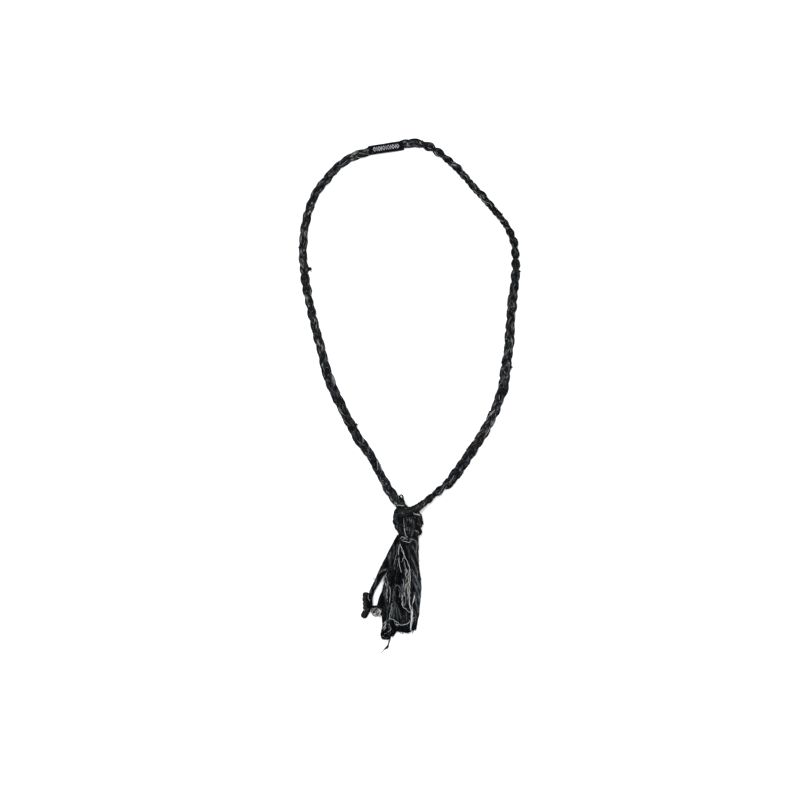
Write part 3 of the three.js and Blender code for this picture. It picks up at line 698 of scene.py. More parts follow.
# the trees' inputs that are given in millimetres
IN_MM = ("pleat_depth", "pleat_length", "wave_height", "wave_length", "crumple_size", "crumple_depth",
         "ragged_edge", "length", "pitch", "thickness")


def shaped(piece, tree, **sizes):
    """Runs a tree over the piece with these inputs and keeps the result as its plain mesh."""
    modifier = piece.modifiers.new(tree.name, "NODES")
    modifier.node_group = tree
    for item in tree.interface.items_tree:
        title = item.name.replace(" ", "_").lower()
        if item.item_type == "SOCKET" and item.in_out == "INPUT" and title in sizes:
            modifier[item.identifier] = sizes[title] * MM if title in IN_MM else sizes[title]
    ready = bpy.context.evaluated_depsgraph_get()
    result = piece.evaluated_get(ready)
    mesh = bpy.data.meshes.new_from_object(result, preserve_all_data_layers=True, depsgraph=ready)
    piece.modifiers.remove(modifier)
    old = piece.data
    piece.data = mesh
    mesh.name = piece.name
    bpy.data.meshes.remove(old)
    return piece


def swept(line, across, over, along, half_width, half_thickness, fullness, tone, pull=None):
    """What the cloth tree needs of one strip, from millimetres to metres: its line and its columns."""
    return {
        "points": line * MM, "across": across, "over": over, "along": along * MM,
        "half_width": half_width * MM, "half_thickness": half_thickness * MM, "fullness": fullness,
        "tone": np.full(len(line), tone), "pull": np.zeros_like(line) if pull is None else pull,
    }


def strand_along(line, face, half_width, half_thickness, fullness, tone, torn=None):
    """One strand of several, whose broad side faces the way it is told."""
    ahead = unit(np.gradient(line, axis=0))
    across = unit(np.cross(face, ahead))
    pull = None if torn is None else ahead * torn[:, None]
    over = np.cross(ahead, across)
    return swept(line, across, over, along_of(line), half_width, half_thickness, fullness, tone, pull)


def torn_end(along, torn):
    """How far each point is pulled on along the strip at its raw end."""
    return np.clip((along - along[-1] + TORN_OVER) / TORN_OVER, 0, 1) * torn * MM


def strip(rows, tone, start, end, step=0.6, thickness=None, torn=0.0, fullness=1.0):
    """One strip's line and what the cloth tree needs along it, from a table's rows."""
    points, columns = run(rows, step)
    if thickness is not None:  # ribbons have one thickness and no column for it
        columns = np.insert(columns, 1, thickness, axis=1)
    half_width, half_thickness, roll = columns.T
    along = along_of(points)
    close = rounded(along, start, end)
    ahead, across, over = frames(points * MM, roll)
    return swept(points, across, over, along, half_width * close, half_thickness * close,
                 np.minimum(close, 1.0) * fullness, tone, ahead * torn_end(along, torn)[:, None])


def chained(lines):
    """Several lines' points in one list, and the edges along each line."""
    edges, start = [], 0
    for line in lines:
        edges += [(start + i, start + i + 1) for i in range(len(line) - 1)]
        start += len(line)
    return np.concatenate(lines), edges


def lines_of(name, strips):
    """All the strips' lines as one mesh of edges, with their attributes on its points."""
    points, edges = chained([s["points"] for s in strips])
    made = piece_of(name, points, edges=edges)
    columns = [(title, "FLOAT_VECTOR", "vector") for title in ("across", "over", "pull")]
    columns += [(title, "FLOAT", "value") for title in (
        "along", "half_width", "half_thickness", "fullness", "tone")]
    for title, kind, field in columns:
        layer = made.data.attributes.new(title, kind, "POINT")
        layer.data.foreach_set(field, np.concatenate([s[title] for s in strips]).astype(np.float32).ravel())
    return made


def column(mesh, name):
    """A point attribute of a mesh as numbers."""
    found = np.zeros(len(mesh.vertices), np.float32)
    mesh.attributes[name].data.foreach_get("value", found)
    return found


def corners_of(mesh):
    """Which point each corner of the mesh's faces is at."""
    corners = np.zeros(len(mesh.loops), np.int32)
    mesh.loops.foreach_get("vertex_index", corners)
    return corners


def thread_map(mesh):
    """Writes the map that the weave follows, in metres: round the strip, and along it."""
    turn, along = column(mesh, "turn"), column(mesh, "along")
    half_width, half_thickness = column(mesh, "half_width"), column(mesh, "half_thickness")
    girth = 2 * math.pi * np.sqrt((half_width ** 2 + half_thickness ** 2) / 2)
    corners = corners_of(mesh)
    first = np.zeros(len(mesh.polygons), np.int32)
    mesh.polygons.foreach_get("loop_start", first)
    round_it = turn[corners]
    widest = np.maximum.reduceat(round_it, first)
    sizes = np.diff(np.append(first, len(corners)))
    past = np.repeat(widest, sizes) - round_it > 0.5  # the face that closes the ring
    across = (round_it + past) * np.median(girth)
    layer = mesh.uv_layers.new(name="thread_map")
    layer.data.foreach_set("uv", np.stack([across, along[corners]], axis=1).astype(np.float32).ravel())


FOLD_FALLOFF = 1.4  # how quickly a fold's painted highlight and a worn place's paleness fade away beside it


def paint_highlights_and_wear(mesh, marks):
    """Writes at each point, as its worn attribute, the painted highlight of the folds that lie near it and
    the paleness of worn places.
    """
    spots = np.zeros(len(mesh.vertices) * 3, np.float32)
    mesh.vertices.foreach_get("co", spots)
    spots = spots.reshape(-1, 3)[:, :2] / MM
    worn = np.zeros(len(spots), np.float32)
    for half_width, paleness, places in marks:
        line = np.array(places)
        for start, end in zip(line[:-1], line[1:]):
            way = end - start
            share = np.clip((spots - start) @ way / (way @ way), 0, 1)
            off = np.linalg.norm(spots - start - share[:, None] * way, axis=1)
            worn = np.maximum(worn, paleness * np.exp(-FOLD_FALLOFF * (off / half_width) ** 2))
    mesh.attributes.new("worn", "FLOAT", "POINT").data.foreach_set("value", worn)


def cloth_piece(name, strips, tree, marks=(), **sizes):
    """Strips swept into one piece of cloth and mapped for its weave, its working attributes cleared."""
    made = shaped(lines_of(name, strips), tree, **sizes)
    thread_map(made.data)
    # the marks: painted highlights along folds, and worn places paled
    if marks:
        paint_highlights_and_wear(made.data, marks)
    for title in ("centre", "ring", "turn", "across", "over", "pull", "half_width", "half_thickness",
                  "fullness"):
        if title in made.data.attributes:
            made.data.attributes.remove(made.data.attributes[title])
    return made


def joins(piece, slot, *nodes):
    """The piece rides with the necklace and stands for those solids; the finish named for it is not used.
    """
    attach(piece, "root")
    if nodes:
        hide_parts(*nodes)
    return piece


# ---- finishes ----
def weave_group():
    """Plain weave: how high each crossing stands, and how each yarn differs from the next."""
    tree, given, end = new_tree("plain weave", "ShaderNodeTree", [
        ("Map", VECTOR, None), ("Yarn Width", NUMBER, 0.45 * MM), ("Slub", NUMBER, 0.3)],
        [("Height", NUMBER), ("Yarn", NUMBER)])
    u, v = given["Map"].part(0) / given["Yarn Width"], given["Map"].part(1) / given["Yarn Width"]
    wander = noise(tree, given["Map"], 260.0, 2.0) * given["Slub"]
    u, v = u + wander, v + wander
    hill = (u * math.pi).maths("SINE") * (v * math.pi).maths("SINE")
    yarns = xyz(tree, u.maths("FLOOR"), v * 0.06)
    picks = xyz(tree, v.maths("FLOOR"), u * 0.06, 9.0)
    tint = (noise(tree, yarns, 0.9, 1.0) + noise(tree, picks, 0.9, 1.0)) * 0.5
    tree.links.new(hill.maths("ABSOLUTE").socket, end.inputs["Height"])
    tree.links.new(tint.socket, end.inputs["Yarn"])
    return tree


def gathers_group():
    """Fine creases that run along a crushed strip, opening and closing as they go."""
    tree, given, end = new_tree("fine gathers", "ShaderNodeTree", [
        ("Map", VECTOR, None), ("Crease Width", NUMBER, 0.8 * MM), ("Crease Length", NUMBER, 5 * MM)],
        [("Height", NUMBER)])
    width, length = given["Crease Width"], given["Crease Length"]
    stretched = xyz(tree, given["Map"].part(0) / width, given["Map"].part(1) / length)
    crease = (noise(tree, stretched, 1.0, 2.0, 0.55, 0.6) - 0.5).maths("ABSOLUTE") * 4.0
    cross = xyz(tree, given["Map"].part(0) / length, given["Map"].part(1) / width, 5.0)
    cross = (noise(tree, cross, 0.7, 1.0, 0.5, 0.8) - 0.5).maths("ABSOLUTE") * 6.0
    height = crease.maths("MINIMUM", 1.0) * cross.between(0.0, 1.0, 0.55, 1.0)
    tree.links.new(height.socket, end.inputs["Height"])
    return tree


def wear_and_highlight_group():
    """Where washing and rubbing have paled the cloth: on its ridges, and on its edges, in patches; and a
    painted highlight along its ridges.
    """
    tree, given, end = new_tree("wear and ridge highlight", "ShaderNodeTree", [
        ("Place", VECTOR, None), ("Ridge", NUMBER, 0.0), ("Edge", NUMBER, 0.0), ("Reach", NUMBER, 0.6),
        ("Edge Wear", NUMBER, 0.0), ("Patch Size", NUMBER, 60.0)],
        [("Faded", NUMBER), ("Patch", NUMBER), ("Crest", NUMBER)])
    patch = noise(tree, given["Place"], given["Patch Size"], 3.0, 0.6)
    rubbed = (given["Ridge"] + (patch - 0.5) * 1.5 + given["Reach"] - 1.0).between(0.0, 0.75)
    edge = (given["Edge"] + (patch - 0.5) * 0.5).between(0.82, 1.02) * given["Edge Wear"]
    tree.links.new(rubbed.maths("MAXIMUM", edge).socket, end.inputs["Faded"])
    tree.links.new(patch.between(0.52, 0.66).socket, end.inputs["Patch"])
    # a painted highlight along the ridges, mottled by the patches and the nap
    nap = noise(tree, given["Place"], 780.0, 3.0, 0.65)
    rise = (given["Ridge"] + (patch - 0.5) * 0.7 + (nap - 0.5) * 1.1).between(0.0, 0.75)
    tree.links.new(rise.socket, end.inputs["Crest"])
    return tree


def mixed(tree, factor, a, b):
    """Two colours mixed."""
    made = place(tree, "ShaderNodeMix", data_type="RGBA", clamp_factor=True)
    fill(tree, made.inputs[0], factor)
    for socket, value in ((made.inputs[6], a), (made.inputs[7], b)):
        fill(tree, socket, value if isinstance(value, Flow) else (*value, 1.0))
    return Flow(tree, made.outputs[2])


def attribute(tree, name):
    """One of the piece's own attributes, as the shader reads it."""
    return out(place(tree, "ShaderNodeAttribute", attribute_name=name), "Fac")


def grouped(tree, group, inputs):
    """A shader group placed in a material."""
    made = tree.nodes.new("ShaderNodeGroup")
    made.node_tree = group
    for name, value in inputs.items():
        fill(tree, made.inputs[name], value)
    return made


def bare_material(name):
    """A material with only its Principled shader: the tree and that shader."""
    made = bpy.data.materials.new(name)
    made.use_nodes = True
    tree = made.node_tree
    tree.nodes.clear()
    shader, end = tree.nodes.new("ShaderNodeBsdfPrincipled"), tree.nodes.new("ShaderNodeOutputMaterial")
    tree.links.new(shader.outputs[0], end.inputs[0])
    return made, tree, shader


def mapped(tree):
    """Where a point of the piece is, and its place on the map round the strip and along it."""
    return (out(place(tree, "ShaderNodeTexCoord"), "Object"),
            out(place(tree, "ShaderNodeUVMap", uv_map="thread_map")))


def coated(tree, shader, colour, rough, sheen, shine, bump):
    """Wires a cloth's colour and roughness, and sets its sheen and its bump: strength, distance, height."""
    tree.links.new(colour.socket, shader.inputs["Base Color"])
    tree.links.new(rough.socket, shader.inputs["Roughness"])
    shader.inputs["Sheen Weight"].default_value = sheen
    shader.inputs["Specular IOR Level"].default_value = shine
    made = place(tree, "ShaderNodeBump", dict(zip(("Strength", "Distance", "Height"), bump)))
    tree.links.new(made.outputs[0], shader.inputs["Normal"])


def cloth_material(name, groups, dark, painted_shade, crest, faded, navy, warm, reach=0.5, edge_wear=0.0,
                   patches=120.0, lift=0.0, yarn=0.45, relief=0.10, creasing=0.45, crease_width=1.1,
                   painted_crease_shade=0.45):
    """Dark washed cotton: weave, painted highlights on its ridges and painted shade in its folds, creases
    and along strand edges, pale worn, navy and brown patches.
    """
    weave, gathers, wear = groups
    made, tree, shader = bare_material(name)
    spot, way = mapped(tree)
    cloth = grouped(tree, weave, {"Map": way, "Yarn Width": yarn * MM, "Slub": 0.5})
    crease = out(grouped(tree, gathers, {
        "Map": way, "Crease Width": crease_width * MM, "Crease Length": 6 * MM}))
    worn = grouped(tree, wear, {
        "Place": spot, "Ridge": attribute(tree, "ridge"), "Edge": attribute(tree, "edge"), "Reach": reach,
        "Edge Wear": edge_wear, "Patch Size": patches})
    tone = attribute(tree, "tone")
    dye = noise(tree, spot, 38.0, 3.0, 0.6).between(0.35, 0.65)
    body = mixed(tree, dye, tuple(0.7 * c for c in dark), dark)
    blue = (noise(tree, spot + (0.31, 0.12, 0.0), 31.0, 2.0) + tone * 0.18).between(0.56, 0.74)
    body = mixed(tree, blue * 0.85, body, navy)
    brown = noise(tree, spot + (0.07, 0.53, 0.2), 44.0, 2.0).between(0.6, 0.7)
    body = mixed(tree, brown * 0.7, body, warm)
    # painted shade: darker towards each strand's edges, and towards the label tape's ends
    edge_shading = attribute(tree, "edge").between(0.55, 1.0, 1.0, 0.1)
    # the worn attribute holds painted highlights along the listed folds, together with the paleness of worn
    # places
    rubbed = attribute(tree, "worn")
    # painted shade in the fine creases
    crease_shading = crease.between(0.0, 0.6, painted_crease_shade, 1.0)
    # rise: a painted highlight on ridges and folds, raised or lowered evenly by lift, held down by the
    # painted shade at edges and in creases
    rise = (out(worn, "Crest") + rubbed * 0.7 + lift) * edge_shading * crease_shading
    yarns = out(cloth, "Yarn").between(0.35, 0.65, 0.0, 1.0)
    nap = out(worn, "Patch").between(0.0, 1.0, 0.75, 1.1) * crease_shading * 0.85
    # pale wear together with the painted fold highlights, held down at the strand edges
    wear_and_highlight_mask = out(worn, "Faded").maths("MAXIMUM", rubbed * nap) * edge_shading * yarns.between(0.0, 1.0, 0.55, 1.0)
    # the colour runs from painted shade where rise is low, through the body colour, to a painted highlight
    # where it is high
    colour = mixed(tree, rise, painted_shade, body)
    colour = mixed(tree, (rise - 0.25) * yarns.between(0.0, 1.0, 0.8, 1.5), colour, crest)
    light = mixed(tree, yarns, tuple(0.62 * c for c in faded), faded)
    colour = mixed(tree, wear_and_highlight_mask, colour, light)
    tint = mixed(tree, blue * 0.8, (1.0, 1.0, 1.0), (0.92, 0.98, 1.12))
    tint = mixed(tree, brown * 0.8, tint, (1.14, 1.0, 0.88))
    colour = out(place(tree, "ShaderNodeVectorMath", {0: colour, 1: tint}, operation="MULTIPLY"))
    fuzz = noise(tree, spot, 2600.0, 2.0) * 0.5
    height = (out(cloth, "Height") + fuzz) * relief + crease * creasing
    coated(tree, shader, colour, out(worn, "Faded") * 0.08 + 0.84, 0.015, 0.02, (0.8, MM, height))
    return made


def yarn_material(name, dark, pale, bias):
    """Spun thread: two plies twisted round each other, paler and darker along its length."""
    made, tree, shader = bare_material(name)
    spot, way = mapped(tree)
    ply = ((way.part(1) * 5200.0) + (way.part(0) * 4200.0)).maths("SINE") * 0.5 + 0.5
    along = noise(tree, spot, 130.0, 2.0, 0.6) + attribute(tree, "tone") * 0.5
    colour = mixed(tree, along.between(bias - 0.2, bias + 0.2), dark, pale)
    colour = mixed(tree, ply * 0.35, colour, dark)
    coated(tree, shader, colour, ply * 0.12 + 0.74, 0.05, 0.1, (0.6, 0.05 * MM, ply))
    return made


# ---- camera, light and floor ----
SENSOR, LENS, EYE = 36.0, 110.0, (-8.25 * MM, -2.7 * MM, 2.2)
SURROUND, FLOOR_REACH = 0.52, 4
LIGHTS = (  # name, place, size, power
    ("key light", (-0.28, 0.36, 2.0), 0.9, 46.0),
    ("side light", (1.3, 0.1, 1.4), 1.0, 10.0),
    ("low light", (-0.2, -1.5, 1.3), 1.0, 8.0),
)


def stage_set():
    """Straight above, with a pale floor, broad soft lights and an even surround."""
    scene = bpy.context.scene
    scene.view_settings.view_transform = "Standard"
    lens = bpy.data.cameras.new("camera")
    lens.sensor_width, lens.lens = SENSOR, LENS
    eye = bpy.data.objects.new("camera", lens)
    eye.location = EYE
    scene.collection.objects.link(eye)
    scene.camera = eye

    world = bpy.data.worlds.new("surround")
    world.use_nodes = True
    background = world.node_tree.nodes["Background"]
    background.inputs["Color"].default_value = (1.0, 1.0, 1.0, 1.0)
    background.inputs["Strength"].default_value = SURROUND
    scene.world = world

    for name, spot, size, power in LIGHTS:
        light = bpy.data.lights.new(name, "AREA")
        light.shape, light.size, light.energy = "DISK", size, power
        lamp = bpy.data.objects.new(name, light)
        lamp.location = spot
        lamp.rotation_euler = (-Vector(spot)).to_track_quat("-Z", "Y").to_euler()
        scene.collection.objects.link(lamp)

    r = FLOOR_REACH
    floor = piece_of("floor", [(-r, -r, 0), (r, -r, 0), (r, r, 0), (-r, r, 0)], faces=[(0, 1, 2, 3)])
    paper, tree, shader = bare_material("pale paper")
    spot = out(place(tree, "ShaderNodeTexCoord"), "Object")
    grain = noise(tree, spot, 900.0, 3.0)
    colour = mixed(tree, grain, (0.90, 0.90, 0.90), (0.93, 0.93, 0.93))
    tree.links.new(colour.socket, shader.inputs["Base Color"])
    shader.inputs["Roughness"].default_value = 0.9
    floor.data.materials.append(paper)


# ---- the plait ----
def plait_line():
    """The plait's middle line with its width, height and roll, reaching into the knot at both ends."""
    rows = [(x, y, lift + height / 2, width, height, roll)
            for x, y, width, height, lift, roll in PLAIT_ROUTE]
    return run([KNOT_LEFT, *rows, KNOT_RIGHT], PLAIT_STEP)


def plait_strands():
    """The three strands, each swinging from edge to edge and passing over and under the others."""
    points, columns = plait_line()
    width, height, roll = columns.T
    along = along_of(points)
    across_is_height = np.abs(np.sin(np.radians(roll)))
    broad = np.maximum(width, height * 1.06) * across_is_height + width * (1 - across_is_height)
    thick = np.minimum(height, width) * across_is_height + height * (1 - across_is_height)
    _, side, over = frames(points, roll)
    pace = 2 * math.pi / (PLAIT_PITCH * (1 + 0.08 * drift(along, 60, 3)))
    phase = np.concatenate([[0.0], np.cumsum(pace[1:] * np.diff(along))])
    close = rounded(along, 1, 1)
    strands = []
    for k in range(3):
        at = phase + 2 * math.pi * k / 3
        size = 1 + 0.13 * drift(along, 15, 20 + k)
        swing = (SWING + 0.022 * drift(along, 13, 30 + k)) * broad
        rise = RISE * thick
        line = points + side * (swing * np.sin(at))[:, None] + over * (rise * np.sin(2 * at))[:, None]
        tilt = 0.45 * np.sin(at) + 0.5 * drift(along, 21, 40 + k)
        face = over * np.cos(tilt)[:, None] + side * np.sin(tilt)[:, None]
        strands.append(strand_along(line, face, STRAND_WIDTH * broad * size * close,
                                    STRAND_THICKNESS * thick * size * close, close, (0.15, 0.5, 0.85)[k]))
    return points * MM, along[-1] * MM, strands


def plaited_lobe(tone, pitch, rows):
    """A short plaited turn: three strands that pass over each other along the rows."""
    points, columns = run([(*row, 0) for row in rows], 0.4)
    half_width, half_thickness, _ = columns.T
    along = along_of(points)
    close = rounded(along, 3.0, 3.0)
    _, side, over = frames(points)
    found = []
    for k in range(3):
        at = 2 * math.pi * (along / pitch + k / 3) + tone * 9
        line = (points + side * (0.46 * half_width * close * np.sin(at))[:, None]
                + over * (0.42 * half_thickness * close * np.sin(2 * at))[:, None])
        found.append(strand_along(line, over, 0.56 * half_width * close, 0.52 * half_thickness * close,
                                  np.minimum(close, 1.0), tone + 0.09 * k))
    return found


def twisted_strands(tone, pitch, rows):
    """Three strips twisted round each other like a slack rope."""
    points, columns = run([(*row, 0) for row in rows], 0.5)
    half_width, half_thickness, _ = columns.T
    along = along_of(points)
    close = rounded(along, 3.0, 2.0)
    _, side, over = frames(points)
    found = []
    for k in range(3):
        at = 2 * math.pi * (along / pitch + k / 3) + 0.5 * drift(along, 25, 80 + k)
        line = (points + side * (0.42 * half_width * np.sin(at))[:, None]
                + over * (0.42 * half_thickness * np.cos(at))[:, None])
        face = side * np.sin(at)[:, None] + over * np.cos(at)[:, None]
        size = 1 + 0.08 * drift(along, 15, 84 + k)
        found.append(strand_along(
            line, face, 0.66 * half_width * close * size, 0.56 * half_thickness * close * size,
            np.minimum(close, 1.0), tone + 0.12 * k, torn_end(along, 1.6)))
    return found


def off_strand(strand, pick, aside, up):
    """A line beside a strand, in millimetres: so many half widths aside of it, half thicknesses above."""
    return (strand["points"][pick] + strand["across"][pick] * (aside * strand["half_width"][pick])[:, None]
            + strand["over"][pick] * (up * strand["half_thickness"][pick])[:, None]) / MM


def surface_threads(strands, count, radius, seed):
    """Frayed threads that lie along the strands, coming up out of the folds and going back in."""
    rng = np.random.default_rng(seed)
    found = []
    for strand in strands:
        for _ in range(count):
            first = int(rng.uniform(0, 0.97) * len(strand["along"]))
            pick = slice(first, first + int(rng.uniform(12, 34) / PLAIT_STEP), 2)
            along = strand["along"][pick] / MM
            if len(along) < 6:
                continue
            along = along - along[0]
            angle = rng.uniform(0, 2 * math.pi) + 1.2 * drift(along, 12, new_seed(rng)) + along * 0.05
            depth = 0.97 + 0.14 * drift(along, 6, new_seed(rng))
            line = off_strand(strand, pick, np.cos(angle) * depth, np.sin(angle) * depth)
            found.append(thread(line, radius * rng.uniform(0.7, 1.2), rng.uniform(0, 0.9)))
    return found


def thread(points, radius, tone, taper=3.0, crinkle=0.0):
    """A thin round thread along the points, in millimetres, drawn out fine at both ends."""
    points = np.array(points, float)
    along = along_of(points)
    if crinkle:
        aside = unit(np.cross(UP, np.gradient(points, axis=0)))
        points += aside * (crinkle * drift(along, 1.9, int(abs(points[0, 0]) * 100)))[:, None]
    close = rounded(along, taper, taper) * (1 + 0.15 * drift(along, 5, len(points)))
    radius = np.broadcast_to(radius, len(points)) * close
    _, across, over = frames(points)
    return swept(points, across, over, along, radius, radius, np.zeros(len(points)), tone)


def over_window(values, reach, measure):
    """The measure of each value together with its neighbours, as far as the reach on both sides."""
    padded = np.pad(values, reach, mode="edge")
    return np.array([measure(padded[i:i + 2 * reach + 1]) for i in range(len(values))])


def tuft(x, y, way, reach, half_width):
    """A short raw end of a strip that stands out of the plait."""
    turn = math.radians(way)
    out_x, out_y = math.cos(turn), math.sin(turn)
    rows = [
        (x - 3.4 * out_x, y - 3.4 * out_y, 3.6, half_width, half_width * 0.9, 0),
        (x - 1.2 * out_x - 0.4 * out_y, y - 1.2 * out_y + 0.4 * out_x, 4.0,
         half_width * 1.1, half_width * 0.7, 30),
        (x + (reach - 0.9) * out_x, y + (reach - 0.9) * out_y, 3.0, half_width * 0.9, half_width * 0.4, 50)]
    return strip(rows, 0.5 + 0.4 * math.sin(x), step=0.3, start=1, end=0.5, torn=1.6, fullness=1.4)


class Lay:
    """What is already made, as something to lay threads on from above."""

    def __init__(self, *pieces):
        ready = bpy.context.evaluated_depsgraph_get()
        self.surfaces = [BVHTree.FromObject(piece, ready) for piece in pieces]

    def height(self, x, y):
        """How high the top lies at a place, in millimetres."""
        found = [s.ray_cast(Vector((x * MM, y * MM, 0.1)), Vector((0, 0, -1)))[0] for s in self.surfaces]
        return max([spot.z / MM for spot in found if spot is not None], default=0.0)

    def along(self, places, radius, sink=0.25, step=0.5, slack=1.2):
        """The places joined by a smooth line that bridges hollows and rests on what sticks up."""
        flat = np.array([(x, y, 0.0) for x, y in places])
        if len(flat) == 2:
            flat = np.array([flat[0], (flat[0] + flat[1]) / 2, flat[1]])
        points, _ = run(flat, step)
        height = np.array([self.height(x, y) for x, y, _ in points])
        reach = max(1, int(slack / step))
        top = over_window(height, reach, np.max)
        soft = over_window(0.5 * top + 0.5 * height, reach, np.mean)
        points[:, 2] = np.maximum(np.maximum(soft, height) + radius * (1 - 2 * sink), radius + RESTING / MM)
        return points


def raised_folds(lay, table):
    """Low folds that stand up out of the cloth and sink back into it at their ends."""
    found = []
    for half_width, tone, places in table:
        points = lay.along(places, half_width, sink=0.78, slack=1.6)
        points[:, 2] -= 1.1 * half_width * (1 - rounded(along_of(points), 9.0, 9.0))
        rows = [(*point, 1.3 * half_width, half_width, 0) for point in points[::2]]
        found.append(strip(rows, tone, step=0.4, start=3, end=3))
    return found


def worn_places(strands, length, stretches, seed):
    """Where the plait is worn: how far each place spreads, how pale it is, and its bit of strand."""
    rng = np.random.default_rng(seed)
    found = []
    for low, high, count, paleness in stretches:
        for _ in range(count):
            strand = strands[rng.integers(3)]
            line, along = strand["points"] / MM, strand["along"] / MM
            along = along * length / along[-1]
            starts = np.searchsorted(along, rng.uniform(low, high, 7))
            start = max(starts, key=lambda k: line[min(k, len(line) - 1), 2])
            end = min(start + 2 + int(rng.uniform(1.2, 4.6) / PLAIT_STEP), len(line) - 1)
            shift = strand["across"][start, :2] * rng.uniform(-0.7, 0.7)
            places = [tuple(line[k, :2] + shift) for k in (start, (start + end) // 2, end)]
            spread = rng.uniform(0.35, 0.75)
            found.append((spread, float(np.clip(paleness + rng.normal(0, 0.13), 0.2, 0.9)), places))
    return found


def frayed_patches(lay, marks, seed):
    """Each mark as some short threads side by side, where a raw edge has come up through the plait."""
    rng = np.random.default_rng(seed)
    found = []
    for spread, tone, places in marks:
        places = np.array(places)
        ahead = places[-1] - places[0]
        aside = np.array([-ahead[1], ahead[0]]) / max(np.linalg.norm(ahead), 1e-6)
        count = max(3, int(round(spread / 0.15)))
        for shift in np.linspace(-1, 1, count) * (spread - 0.1):
            own = places + aside * (shift + rng.normal(0, 0.15))
            own[0] += ahead * rng.uniform(-0.1, 0.3)
            own[-1] -= ahead * rng.uniform(-0.1, 0.3)
            radius = rng.uniform(0.04, 0.08)
            shade = np.clip(0.55 * tone + rng.normal(0, 0.2), 0, 1)
            line = lay.along(own, radius, sink=0.3, step=0.4)
            line = line[[lay.height(x, y) > 2.5 for x, y, _ in line]]
            if len(line) > 3:
                found.append(thread(line, radius, shade, taper=0.8, crinkle=CRINKLE))
    return found


def loose_net(lay, nets, seed):
    """Crinkled threads that wander across each other down a band of the cloth."""
    rng = np.random.default_rng(seed)
    found = []
    for count, crinkle, route in nets:
        points, spread = run([(x, y, 0, half_width) for x, y, half_width in route], 0.5)
        for _ in range(count):
            first = rng.uniform(0, 0.5)
            last = min(1.0, first + rng.uniform(0.35, 0.8))
            share = np.linspace(first, last, max(4, int((last - first) * len(points) / 5)))
            pick = (share * (len(points) - 1)).astype(int)
            lean = rng.uniform(-0.8, 0.8) + 0.5 * drift(pick * 0.5, 8, new_seed(rng))
            ahead = unit(np.gradient(points, axis=0))[pick]
            aside = np.stack([-ahead[:, 1], ahead[:, 0]], axis=1)
            places = points[pick, :2] + aside * (np.clip(lean, -1.1, 1.1) * spread[pick, 0])[:, None]
            radius = rng.uniform(0.07, 0.11)
            line = lay.along(places, radius, sink=0.1, step=0.4)
            found.append(thread(line, radius, rng.uniform(0.15, 1.0), taper=1.5, crinkle=crinkle))
    return found


def hair_tufts(rows, lay, seed):
    """Small sprays of fine hairs where a strip has frayed out."""
    rng = np.random.default_rng(seed)
    found = []
    for x, y, way, count, length in rows:
        base = max(lay.height(x, y), 2.0) - 0.6
        for _ in range(count):
            turn = math.radians(way + rng.normal(0, 24))
            reach = length * rng.uniform(0.6, 1.2)
            out_x, out_y = math.cos(turn), math.sin(turn)
            rise = rng.uniform(-0.5, 0.3)
            bow = rng.normal(0, 0.4)
            hair = [
                (x - out_x * 0.8, y - out_y * 0.8, base),
                (x + out_x * reach * 0.5 - out_y * bow, y + out_y * reach * 0.5 + out_x * bow,
                 base + rise * 0.6),
                (x + out_x * reach, y + out_y * reach, max(base + rise * reach * 0.5, 0.4))]
            found.append(thread(run(hair, 0.4)[0], HAIR, rng.uniform(0.1, 0.7)))
    return found


def frayed_mass(lay, seed, core, middle, reach, count):
    """A tangle of loosened threads that curl round a dark core."""
    rng = np.random.default_rng(seed)
    core, middle = np.array(core), np.array(middle)
    found = []
    for _ in range(count):
        share = rng.uniform(0.36, 1.0)
        centre = core + (middle - core) * share + rng.normal(0, 0.5, 2)
        first = rng.uniform(0, 2 * math.pi)
        turn = np.linspace(first, first + rng.uniform(0.5, 1.9), 7)
        wobble = share * (np.linspace(1, rng.uniform(0.55, 1.15), 7) + 0.06 * rng.normal(size=7))
        places = np.stack([centre[0] + reach[0] * wobble * np.cos(turn),
                           centre[1] + reach[1] * wobble * np.sin(turn)], axis=1)
        radius = rng.uniform(0.14, 0.24)
        line = lay.along(places, radius, sink=-1.0 - 2.0 * rng.uniform())
        found.append(thread(line, radius, rng.uniform(0.0, 1.0)))
    return found


def end_fringe(ribbon_rows, seed):
    """Threads left standing out of a ribbon's raw end."""
    rng = np.random.default_rng(seed)
    end, before = np.array(ribbon_rows[-1][:3], float), np.array(ribbon_rows[-2][:3], float)
    half_width = ribbon_rows[-1][3]
    ahead = unit(end - before)
    side = unit(np.cross(UP, ahead))
    found = []
    for _ in range(FRINGE_THREADS):
        start = end + side * half_width * rng.uniform(-0.9, 0.9) - ahead * rng.uniform(0.6, 2.0)
        reach = FRINGE_LENGTH * rng.uniform(0.5, 1.3)
        tip = start + ahead * (reach + 1.4) + side * rng.normal(0, 0.8)
        tip[2] = rng.uniform(0.5, 2.0)
        bend = (start + tip) / 2 + side * rng.normal(0, 0.3) + UP * rng.uniform(0, 0.5)
        radius = rng.uniform(0.08, 0.18)
        found.append(thread(run([start, bend, tip], 0.4)[0], radius, rng.uniform(0.0, 0.6)))
    return found


def raw_edges(strips, seed):
    """The loosened threads that run along both raw edges of each ribbon."""
    rng = np.random.default_rng(seed)
    found = []
    for s in strips:
        for side in (-1, 1):
            for _ in range(2):
                pick = slice(None, None, 2)
                along = s["along"][pick] / MM
                off = side * (1.0 + 0.08 * drift(along, 7, new_seed(rng)))
                lift = 0.25 + 0.5 * drift(along, 9, new_seed(rng))
                line = off_strand(s, pick, off, lift)
                first = int(rng.uniform(0.0, 0.7) * len(line))
                last = first + int(rng.uniform(0.12, 0.4) * len(line))
                if last - first > 6:
                    line = line[first:last]
                    line[:, 2] = np.maximum(line[:, 2], 0.5)
                    found.append(thread(line, EDGE_THREAD * rng.uniform(0.7, 1.3), rng.uniform(0.0, 0.55)))
    return found


